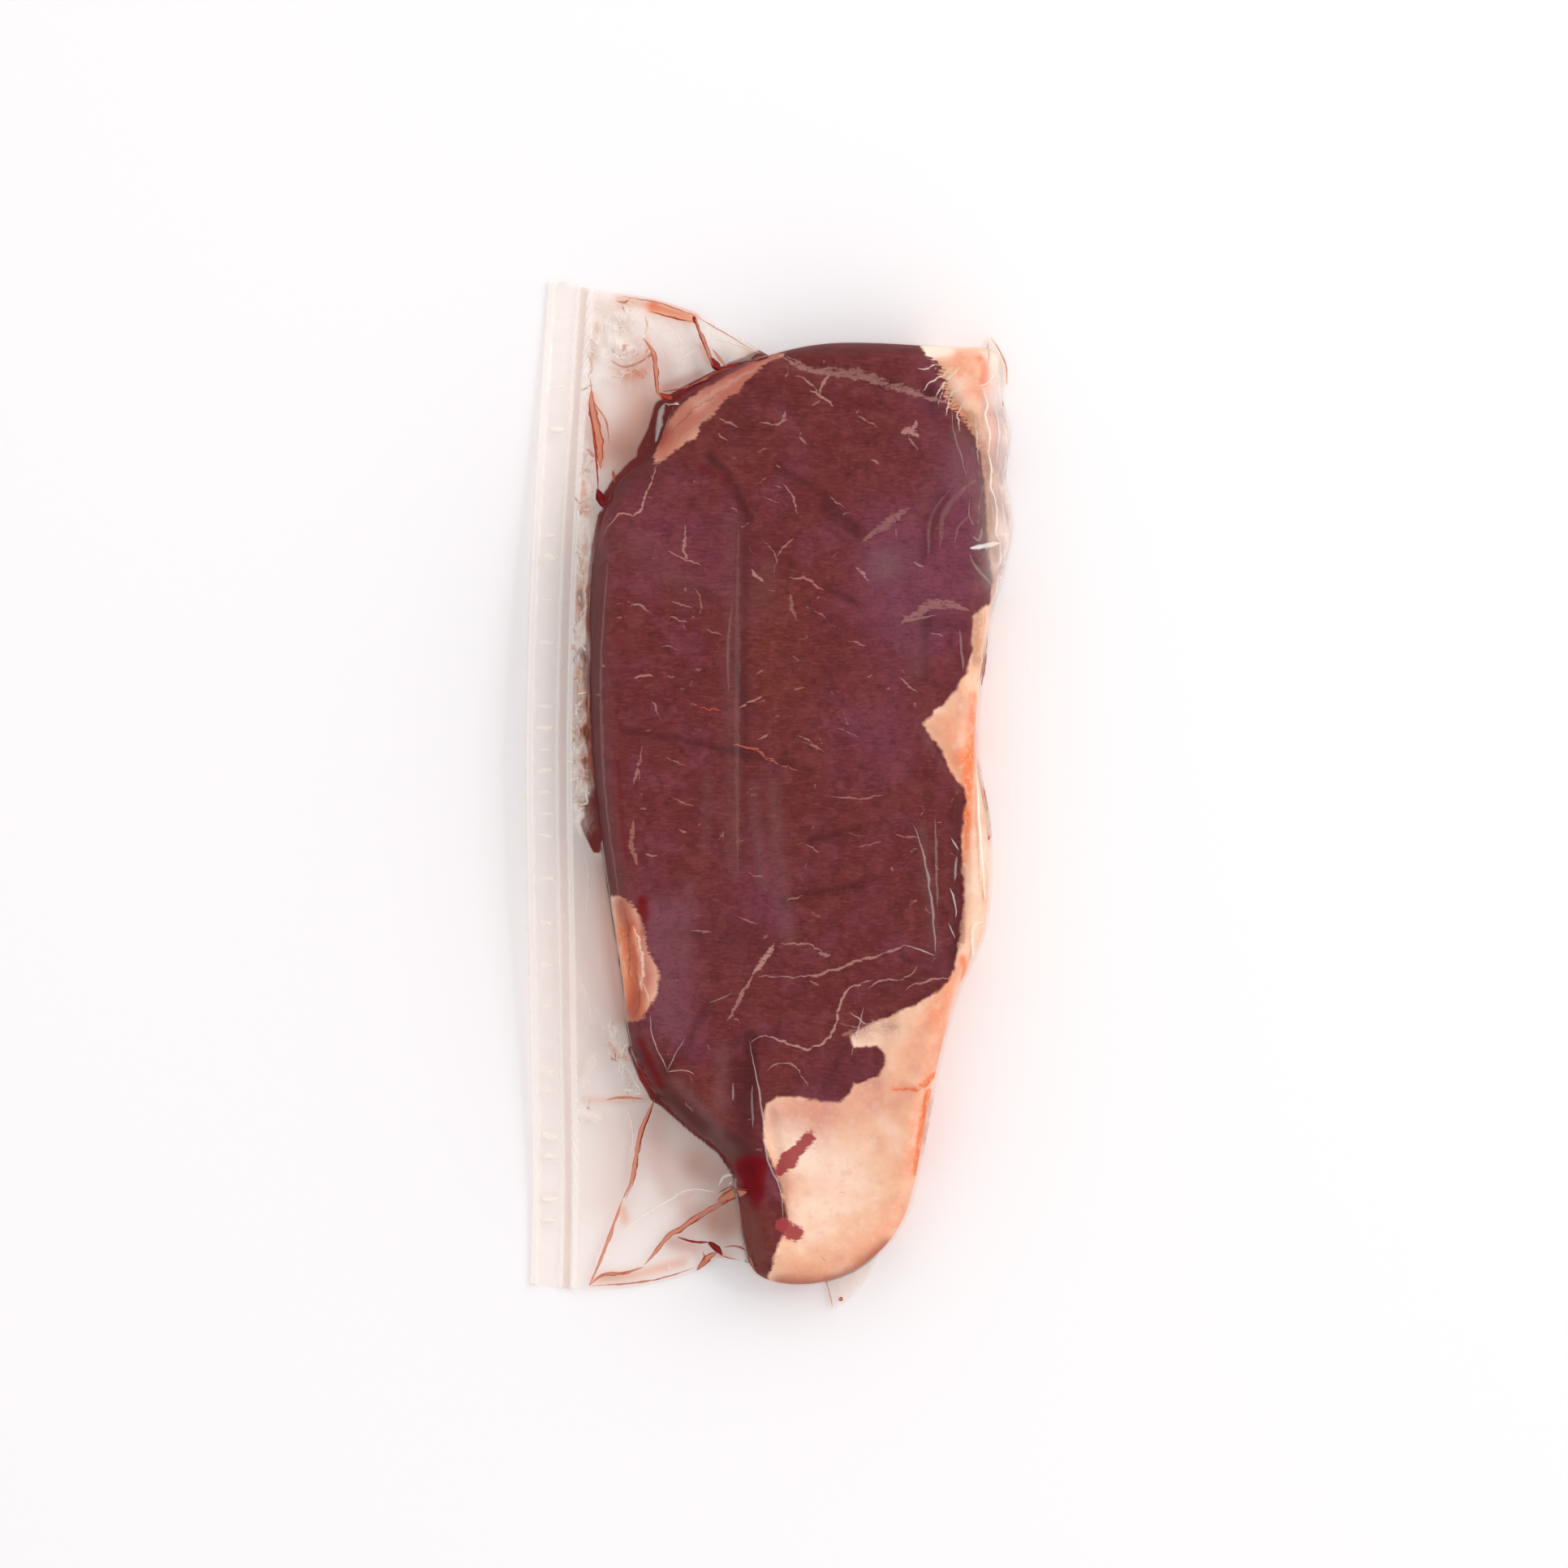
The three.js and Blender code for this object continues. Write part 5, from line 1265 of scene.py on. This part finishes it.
# creases in the film: width in mm, milkiness with a painted highlight, brownness, path
creaseSize = {
    "step": 0.4 * mm, "wander": 1.0 * mm, "scale": 300.0, "lift": 0.0, "crown": 0.2 * mm, "seed": 9,
    "overFace": [
        (1.6, 0.02, 0, [(-8, 66), (-8.2, 47.6), (-8.4, 15.6), (-8.2, -20)]),
        (0.9, 0.04, 0, [(-9.4, 46.6), (-10.6, 35.6), (-10.4, 24)]),
        (0.9, 0.08, 0, [(39.6, -5.6), (40, -19.2), (40.2, -27.8)]),
        (0.7, 0.35, 0, [(43.6, -10.6), (45.4, -13.6)]), (0.9, 0.2, 0, [(44.8, -15), (44.4, -21)]),
        (0.6, 0.4, 0, [(43.2, -22.8), (44.8, -27.8), (44.6, -30)]),
        (0.5, 0.35, 0, [(43, -31.4), (44.6, -35.2)]),
        (0.8, 0.2, 0, [(34.4, -7.6), (36.2, -12.4), (38.6, -24.8), (39.8, -38.8)]),
        (0.5, 0.2, 0, [(33.8, -37), (39.6, -39.2)]),
        (0.9, 0.04, 0, [(-39.6, 58), (-41.4, 30), (-40.4, 0), (-36.6, -28)]),
        (0.9, 0.1, 0, [(48, 58.4), (49.2, 55.2), (52.6, 51.8), (54.2, 49.6)]),
        (0.8, 0.1, 0, [(45.6, 40), (46.4, 30)]),
        (0.5, 0.1, 0, [(43.6, 93.2), (44.2, 87.6), (45.8, 82), (47.4, 76.4)]),
        (1.8, 0.0, 0.06, [(40.8, 59.6), (41.8, 68), (45.8, 73), (49.8, 76.4)]),
        (0.4, 0.1, 0, [(48.2, 71.6), (47.8, 67.6), (49.2, 64.6)]),
        (1.2, 0.02, 0.03, [(47.8, 67.6), (45.4, 64.6), (44.4, 60.6)]),
        (1.2, 0.0, 0.05, [(43.4, 74), (38.6, 67), (38, 57)]),
        (0.9, 0.14, 0, [(48.6, 62.6), (50.4, 61.4), (51, 64.6)]),
        (0.35, 0.25, 0, [(-29.4, -53), (-29.2, -57.6), (-25.4, -67.2)]),
        (0.35, 0.3, 0, [(-25.4, -67.4), (-21, -67), (-18.8, -68)]),
        (0.35, 0.2, 0, [(-25.4, -67.2), (-21, -59)]), (0.3, 0.16, 0, [(-15.4, -50.8), (-9.2, -48.2)]),
        (0.8, 0.16, 0, [(-9.2, -70), (-9.4, -74.4)]), (0.8, 0.12, 0, [(-4.8, -70.6), (-4.6, -81)]),
        (0.5, 0.2, 0, [(22.4, -51.6), (20.6, -58), (19.4, -63.4)]), (0.4, 0.25, 0, [(19, -53), (23, -56)]),
        (0.6, 0.25, 0, [(-5.4, -60), (-3.8, -68), (-1.8, -81), (-1.2, -88), (2.2, -96.8), (2.8, -103.6)]),
        (0.5, 0.1, 0.5, [(40.2, -68.4), (39.6, -78), (36.6, -92)]),
    ],
    "overWall": [
        (0.7, 0.85, 0, [(50.6, 10.2), (50.2, -4.4), (50.6, -10.4), (51.6, -20.4), (52.2, -30.4)]),
        (0.7, 0.6, 0, [(52.2, -31.2), (49.2, -31.8), (48.8, -40), (47.6, -45)]),
        (1.7, 0.85, 0, [(48, 59.6), (55.4, 60.8)]),
        (0.7, 0.7, 0, [(51.2, 98.8), (52.4, 94.6), (51.8, 92), (53, 87.4), (52.6, 82.4)]),
        (0.7, 0.85, 0, [(52.4, 84), (53.4, 78.6), (53.2, 74.4), (54.6, 71.4)]),
        (0.6, 0.75, 0, [(53.6, 74.6), (54.8, 68), (54.4, 63.4), (56, 60.4)]),
        (1.0, 0.6, 0, [(55.4, 62), (55.8, 55.4), (55.2, 49.6)]),
        (0.6, 0.6, 0, [(50.3, 98.6), (52.2, 99.6), (54.6, 102.6)]), (0.5, 0.4, 0, [(54.4, 106), (54.6, 99.6)]),
        (0.7, 0.6, 0, [(54.4, 94), (55.4, 88), (54.6, 80)]),
        (0.6, 0.5, 0, [(56.4, 92), (57.4, 86), (57.6, 80)]), (0.5, 0.5, 0, [(56, 76), (56.6, 68), (57.6, 62)]),
        (0.5, 0.7, 0, [(51.6, 34), (51, 28), (51.4, 22)]), (0.6, 0.3, 0.3, [(52.4, 44), (52, 36), (50.8, 28)]),
        (0.6, 0.5, 0, [(51.4, 9), (52, 2), (51.6, -4)]), (0.7, 0.4, 0.2, [(52.6, 6), (53.2, -2), (52.8, -9)]),
        (0.5, 0.5, 0, [(50.4, -12), (51, -22)]),
    ],
    "overMargins": [
        (0.8, 0.85, 0, [(-38, -109.4), (-31.6, -104.2), (-26.2, -101), (-20.8, -98), (-13.2, -98.2)]),
        (1.0, 0.8, 0, [(-13.2, -97.2), (-12.2, -94.8), (-10.2, -93.8), (-8.8, -94.8), (-10.8, -96.4)]),
        (1.1, 0.9, 0, [(-27.2, -114.2)]), (0.8, 0.7, 0, [(-38.6, -121.2)]),
        (0.6, 0.6, 0, [(-25.6, -116.6), (-25, -118.4)]),
        (1.6, 0.7, 0, [(-47.4, -78.2), (-44.6, -78.8), (-43, -79.8)]),
        (1.2, 0.95, 0, [(-31.2, 114), (-31.8, 112.6)]),
        (0.7, 0.5, 0.5, [(-48.8, 9.8), (-46.6, 8.8), (-45.8, 9.6)]),
        (0.7, 0.6, 0.3, [(-48.6, 8), (-47, 7.2), (-45.8, 5.6), (-44.4, 6)]),
        (0.7, 0.5, 0.6, [(-47.8, 6), (-46.2, 4.6), (-44.6, 4)]), (0.5, 0.5, 0, [(-47.8, 40), (-45.8, 38.4)]),
        (0.5, 0.5, 0, [(-46.6, 30.8), (-47.2, 23)]), (0.9, 0.6, 0, [(-34.4, -70.4), (-32.2, -73)]),
        (0.7, 0.5, 0, [(-38.6, -63), (-36, -69)]), (0.7, 0.4, 0, [(-26.6, 116.6), (-22.6, 112.2), (-24, 108)]),
        (0.5, 0.5, 0, [(-47.8, 66), (-46.8, 60), (-47.6, 52)]),
        (0.5, 0.4, 0, [(-48, -44), (-45, -52), (-44.6, -58)]),
        (0.5, 0.4, 0.2, [(-46, -14), (-45.2, -22), (-46, -32)]),
        (2.2, 0.5, 0.1, [(-26.2, 96.2), (-27.2, 94.6), (-27.8, 89.6), (-28.6, 86.6)]),
        (1.2, 0.5, 0.1, [(-26.2, 96.2), (-22.4, 94.8)]), (0.4, 0.5, 0, [(14.6, -121), (15.6, -126)]),
        (0.4, 0.4, 0, [(17, -120), (16.6, -125.4)]), (0.4, 0.4, 0, [(20, -117), (21, -121.6)]),
        (0.9, 0.05, 0.5, [(-39.8, 107.2), (-36.6, 105.6), (-33, 106.4), (-30.2, 108.4)]),
        (0.8, 0.1, 0.45, [(-31.4, 113), (-30.8, 116), (-31.6, 118.4)]),
        (0.9, 0.1, 0.5, [(-46, 110), (-44.6, 106), (-45.4, 102.6)]),
        (0.7, 0.6, 0, [(-43, 117), (-38, 115.6), (-34.6, 116.6)]),
        (0.7, 0.6, 0, [(-40.4, 112), (-38.6, 108.4), (-35.4, 107.6)]),
        (0.6, 0.5, 0.1, [(-44.4, 121), (-41, 119.2)]), (0.6, 0.5, 0, [(-22.6, 107), (-17.6, 110.6)]),
        (0.5, 0.4, 0, [(-24, 112), (-20.6, 108.8)]), (1.0, 0.3, 0.1, [(-14, 112.6), (-8, 110.8), (-3, 108.4)]),
        (0.6, 0.4, 0, [(-36.4, -76.6), (-34.4, -84), (-35.6, -92)]),
    ],
}

print("film: creases")
strokes = creaseSize["overFace"] + creaseSize["overWall"] + creaseSize["overMargins"]
strokes = strokeMesh(strokes, ("wide", "milkAndHighlight", "brown"))
creases = grown("film_creases", strokes, strips, surface=filmSkin, material=film, **creaseSize)
crest = 1 - fieldOf(creases, "across") ** 2
# the crest of each crease is milky, with a painted highlight
paint(creases, haze=fieldOf(creases, "milkAndHighlight") * crest, stain=fieldOf(creases, "brown") * crest)

# short sharp crinkles where the margins are crumpled: milky with a painted highlight, some of them stained
crinkleSize = {
    "density": 280000.0, "long": 2.8 * mm, "thick": 0.45 * mm, "rise": 0.4 * mm, "tilt": 3.1,
    "bend": 4.0 * mm, "seed": 21,
    "fewest": 0.1, "most": 0.9, "offMeat": 1,
}
crinkleLook = {"haze": 0.85, "stain": 0.5, "stainSize": 6, "stainReach": (0.0, 0.35)}

print("film: crinkles in the margins")
seedbed = seedbedOf(panel)
chance = np.clip(crumpledThere * offBand - crinkleSize["fewest"], 0, crinkleSize["most"])
paint(seedbed, chance=chance * (fromMeat(planX, planY) > crinkleSize["offMeat"]))
crinkles = grown("film_crinkles", seedbed, grains, material=film, **crinkleSize)
unpaint(crinkles, ("chance", *filmTones))
crinkleX, crinkleY = planOf(crinkles)[:, :2].T
stained = unevenness(crinkleX, crinkleY, crinkleLook["stainSize"], 8.8, 2)
stained = smoothStep(*crinkleLook["stainReach"], stained)
paint(crinkles, haze=crinkleLook["haze"] * (1 - stained), stain=crinkleLook["stain"] * stained)

# puckers across the welded band, milky with a painted highlight: placed closer together at mid-length
ribSize = {
    "fromEdge": 4.6, "level": 0.95, "closeFrom": -8, "closeTo": 27, "elsewhere": 0.35, "milkAndHighlight": 0.95,
    "spacing": 5.2 * mm, "long": 5.2 * mm, "thick": 1.0 * mm, "rise": 0.6 * mm, "tilt": 0.15, "seed": 5,
}

print("film: puckers in the weld")
bandLine = flangeLine + (ribSize["fromEdge"], 0)
along = np.linspace(0, 1, len(bandLine))
curl = panelSize["lift"] * (1 - smoothStep(0, 1, np.full(len(along), ribSize["fromEdge"] / panelSize["liftRun"])))
bandLevel = curl * np.sin(math.pi * along) ** 2 + ribSize["level"]
band = meshOf("band", np.column_stack([bandLine, bandLevel]), [], [(i, i + 1) for i in range(len(bandLine) - 1)])
inClose = (bandLine[:, 1] > ribSize["closeFrom"]) & (bandLine[:, 1] < ribSize["closeTo"])
paint(band, often=np.where(inClose, 1.0, ribSize["elsewhere"]))
ribs = grown("weld_puckers", band, ribTree(), material=film, **ribSize)
paint(ribs, haze=ribSize["milkAndHighlight"])

# juice caught between the plies: width in mm, how deep it pools, path
juiceSize = {
    "step": 0.4 * mm, "wander": 0.4 * mm, "scale": 420.0, "lift": -0.05 * mm, "crown": 0.14 * mm, "seed": 2,
    "tailThreads": [
        (1.3, 0.0, [(-28.8, -75.2), (-30.4, -78.6), (-32.2, -83), (-33.2, -88), (-34.8, -96), (-37.0, -100.4)]),
        (0.9, 0.0, [(-36.8, -100), (-39.4, -107.4), (-41.4, -112.8), (-43.6, -118.2), (-45.2, -121.6)]),
        (0.4, 0.85, [(-28.8, -75), (-30, -78.6), (-31.6, -83), (-33, -88)]),
        (0.25, 0.5, [(-32.6, -86), (-34.2, -96), (-36.4, -100.4)]),
        (1.3, 0.2, [(-10.4, -99.4), (-15.2, -102.4), (-20, -105.6), (-23, -108), (-24.4, -108.4), (-27, -111),
            (-29.4, -114), (-31.6, -116.6)]),
        (0.3, 0.7, [(-10, -100), (-15, -103.2), (-20, -106.4), (-24, -109)]),
        (2.4, 0.25, [(-13.4, -100.6), (-9.6, -98.4), (-6, -96.8)]),
        (0.35, 0.7, [(-13.4, -98.6), (-9.4, -96.6), (-5.2, -96.2)]),
        (0.35, 0.7, [(-13.6, -101.6), (-9, -99.4), (-6, -97)]),
        (0.8, 0.3, [(-31.8, -117), (-36, -118.6), (-42.4, -119.4), (-45.2, -121.6)]),
        (0.7, 0.8, [(-23.4, -109.6), (-19.6, -110.8), (-15.6, -110.8)]),
        (0.6, 0.35, [(-12, -112), (-8.8, -111.4), (-6, -112.6), (-3.6, -117.6)]),
        (2.0, 1.0, [(-15.8, -110.8), (-13.8, -112.2), (-12.2, -114)]),
        (1.6, 0.3, [(-13.4, -113.4), (-15.6, -114.6), (-18.6, -118)]),
        (0.35, 0.7, [(-17, -113), (-16.8, -115.4), (-18.6, -118.2)]),
        (0.4, 0.3, [(-45, -121.8), (-36, -121.4), (-28, -120.2), (-19, -117.4)]),
        (0.4, 0.4, [(-13, -114), (-8, -115.2), (-3, -115.6)]),
        (1.1, 1.0, [(-33.6, -66), (-31.6, -70.4), (-29, -74.4)]),
        (0.6, 0.1, [(-41, -75.6), (-37, -75), (-31.6, -75.2)]), (1.3, 0.3, [(16.6, -124.8), (17.6, -125.6)]),
        (0.25, 0.2, [(12.6, -118), (14, -122.6), (15, -127)]),
    ],
    "headThreads": [
        (0.3, 0.3, [(-37, 123.2), (-28, 121.6), (-18.8, 118.2)]),
        (0.25, 0.2, [(-18.8, 118.2), (-10.4, 113.2), (-4.6, 109.4)]),
        (0.4, 0.6, [(-30.4, 119.4), (-25.2, 118), (-19.4, 116.6)]),
        (1.2, 0.3, [(-19.2, 117.6), (-18, 114.6), (-16, 109.8), (-14.6, 105.6)]),
        (0.3, 0.8, [(-19.4, 118), (-17.6, 113), (-15, 106)]), (1.0, 1.0, [(-19.4, 118.2), (-18.8, 116)]),
        (0.8, 0.2, [(-14.6, 109.8), (-12.6, 107), (-11, 104.8)]),
        (2.0, 1.0, [(-15, 107.6), (-13.6, 105.2), (-12.4, 104.2)]),
        (2.6, 1.0, [(-5.4, 106), (-3, 107.2), (-0.8, 106.8)]),
        (1.2, 0.9, [(-12.8, 104.8), (-8, 105.6), (-4.6, 106.4)]),
        (1.2, 0.25, [(-31.8, 112.6), (-29.4, 109.2), (-28.6, 104.4), (-28.2, 99.6), (-27, 96.8)]),
        (0.3, 0.7, [(-29.4, 106.4), (-28.8, 102), (-28.4, 98.4)]),
        (1.8, 0.75, [(-28, 98.8), (-25.6, 97.6), (-22.6, 97.4)]),
        (0.7, 0.7, [(-24, 98.4), (-18, 100.6), (-12.6, 103)]),
        (0.5, 0.5, [(-27.4, 99), (-20.2, 100.4), (-14, 103.6), (-8, 105.4)]),
        (0.4, 0.3, [(-45, 103), (-44, 96.8), (-41.2, 92.6), (-40, 85.8)]),
        (2.2, 0.2, [(-44.6, 100), (-44.4, 95), (-42.8, 88), (-42.2, 80)]),
        (0.6, 0.7, [(-45.4, 97.4), (-44.4, 91.6), (-43.4, 83.6), (-42.6, 73.6)]),
        (2.6, 1.1, [(-43, 75.2), (-41.4, 71.4), (-39.2, 73.4)]), (0.8, 0.5, [(-39.2, 79.8), (-38.6, 76.4)]),
        (0.4, 0.2, [(-39.8, 107), (-36.4, 105.6), (-32.4, 107), (-29.6, 108.4)]),
    ],
    "sideThreads": [
        (0.8, 0.5, [(-44.8, 52), (-44.8, 44), (-45, 38)]), (0.7, 0.3, [(-44.6, 26), (-45, 18)]),
        (0.9, 0.6, [(-44.4, 12), (-43.8, 4)]),
        (0.4, 0.5, [(53.4, 39.6), (52.8, 31.6), (51.6, 25.6), (50.2, 12.6), (49.8, 8.6)]),
        (0.9, 0.8, [(53.4, -9), (53.2, -11.4)]), (0.5, 0.3, [(52, 3), (53.2, -3), (53.4, -8)]),
        (0.4, -0.5, [(54.2, 113), (56.4, 109.8), (58, 106), (58.2, 101)]),
        (0.3, -0.5, [(53.6, 112.6), (53.2, 109), (52.6, 104)]), (0.5, -0.3, [(58, 100), (57, 94), (58.6, 88)]),
    ],
}
juiceLook = {
    "thin": "#e6b49c", "mid": "#c25a3a", "deep": "#96181a", "pool": "#5e060c", "passes": "#f6cdba",
    "thinCover": 0.3, "deepCover": 0.95, "rim": 0.75,
}


# meat juice, a thin red liquid: clear and orange where it is a film, nearly black where it is deep
def juiceMaterial():
    material, tree = newMaterial("meat juice, thin liquid")
    place = addNode(tree, "ShaderNodeTexCoord", out="Object")
    streaky = addNode(tree, "ShaderNodeTexNoise", {"Vector": place, "Scale": 500.0, "Detail": 3.0})
    depth = addNode(tree, "ShaderNodeAttribute", out="Fac", attribute_name="depth")
    depth = addNode(tree, "ShaderNodeMath", {0: streaky, 1: 0.5, 2: depth}, operation="MULTIPLY_ADD")
    colour = layered(tree, linear(juiceLook["thin"]), [
        (depth, 0.45, 0.8, 1.0, juiceLook["mid"]), (depth, 0.8, 1.15, 1.0, juiceLook["deep"]),
        (depth, 1.2, 1.5, 1.0, juiceLook["pool"]),
    ])
    wet = addNode(tree, "ShaderNodeBsdfPrincipled",
                  {"Base Color": colour, "Roughness": 0.3, "IOR": 1.34, "Specular IOR Level": 0.2})
    clear = addNode(tree, "ShaderNodeBsdfTransparent", {"Color": linear(juiceLook["passes"])})
    cover = addNode(tree, "ShaderNodeMapRange",
                    {0: depth, 1: 0.4, 2: 1.0, 3: juiceLook["thinCover"], 4: juiceLook["deepCover"]})
    whole = addNode(tree, "ShaderNodeMixShader", {0: cover, 1: clear, 2: wet})
    addNode(tree, "ShaderNodeOutputMaterial", {"Surface": whole})
    return material


print("juice: threads in the folds")
strokes = juiceSize["tailThreads"] + juiceSize["headThreads"] + juiceSize["sideThreads"]
strokes = strokeMesh(strokes, ("wide", "pool"))
juice = grown("meat_juice", strokes, strips, surface=filmSkin, material=juiceMaterial(), **juiceSize)
paint(juice, depth=fieldOf(juice, "pool") + juiceLook["rim"] * fieldOf(juice, "across") ** 4)

# camera, floor and light
shot = {"lens": 85, "sensor": 36, "pixel": 0.2, "pixels": 1932, "level": 6, "centre": (3.0, 2.4)}
studio = {
    "floorSize": 3.0, "floor": "#f4f2f3", "skyTint": (1.0, 0.985, 0.985, 1.0), "toward": (0.75, 0.5, 0.25),
    "skyDim": 0.92, "skyBright": 1.3, "zenithFrom": 0.8, "zenithTo": 0.93, "zenith": 0.45,
    "window": {"place": (1.1, 0.9, 1.1), "size": 1.2, "power": 7.0},
    "lamp": {"place": (0.9, 0.35, 1.3), "size": 0.16, "power": 1.4},
}


def lookDown():
    lens = bpy.data.cameras.new("camera")
    lens.lens = shot["lens"]
    lens.sensor_width = shot["sensor"]
    lens.clip_end = 20
    camera = bpy.data.objects.new("camera", lens)
    away = shot["pixel"] * shot["pixels"] * shot["lens"] / shot["sensor"] + shot["level"]
    camera.location = ((shot["centre"][0] + placeX) * mm, (shot["centre"][1] + placeY) * mm, away * mm)
    bpy.context.scene.collection.objects.link(camera)
    bpy.context.scene.camera = camera


def addFloor():
    size = studio["floorSize"]
    mesh = bpy.data.meshes.new("floor")
    mesh.from_pydata([(-size, -size, 0), (size, -size, 0), (size, size, 0), (-size, size, 0)], [], [(0, 1, 2, 3)])
    floor = bpy.data.objects.new("floor", mesh)
    bpy.context.scene.collection.objects.link(floor)
    material, tree = newMaterial("white laminate worktop")
    surface = addNode(tree, "ShaderNodeBsdfPrincipled", {
        "Base Color": linear(studio["floor"]), "Roughness": 0.6, "IOR": 1.45, "Specular IOR Level": 0.2,
    })
    addNode(tree, "ShaderNodeOutputMaterial", {"Surface": surface})
    mesh.materials.append(material)


def addLamp(name, place, size, power):
    light = bpy.data.lights.new(name, "AREA")
    light.size = size
    light.energy = power
    lamp = bpy.data.objects.new(name, light)
    lamp.location = place
    lamp.rotation_euler = (-Vector(place)).to_track_quat("-Z", "Y").to_euler()
    bpy.context.scene.collection.objects.link(lamp)


# a bright side and a darker one, and a dim patch overhead, so that flat film stays clear
def addSky():
    world = bpy.data.worlds.new("studio")
    world.use_nodes = True
    tree = world.node_tree
    tree.nodes.clear()
    way = addNode(tree, "ShaderNodeTexCoord", out="Generated")
    facing = addNode(tree, "ShaderNodeVectorMath",
                     {0: way, 1: studio["toward"]}, out="Value", operation="DOT_PRODUCT")
    bright = addNode(tree, "ShaderNodeMapRange",
                     {0: facing, 1: -0.7, 2: 0.9, 3: studio["skyDim"], 4: studio["skyBright"]})
    height = addNode(tree, "ShaderNodeSeparateXYZ", {0: way}, out="Z")
    overhead = addNode(tree, "ShaderNodeMapRange", {
        0: height, 1: studio["zenithFrom"], 2: studio["zenithTo"], 3: 1.0, 4: studio["zenith"],
    }, interpolation_type="SMOOTHSTEP")
    strength = addNode(tree, "ShaderNodeMath", {0: bright, 1: overhead}, operation="MULTIPLY")
    sky = addNode(tree, "ShaderNodeBackground", {"Color": studio["skyTint"], "Strength": strength})
    addNode(tree, "ShaderNodeOutputWorld", {"Surface": sky})
    bpy.context.scene.world = world


print("camera, floor and light")
lookDown()
addFloor()
addSky()
addLamp("window", **studio["window"])
addLamp("lamp", **studio["lamp"])
bpy.context.scene.view_settings.view_transform = "Standard"

print("pieces on the pack")
beefPieces = (steak, marbling, flecks, juice)
filmPieces = (cling, panel, creases, crinkles, ribs, flaps)
for piece in beefPieces + filmPieces:
    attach(piece, "root")
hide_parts("steak")
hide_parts("pouch")
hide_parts("pouch")
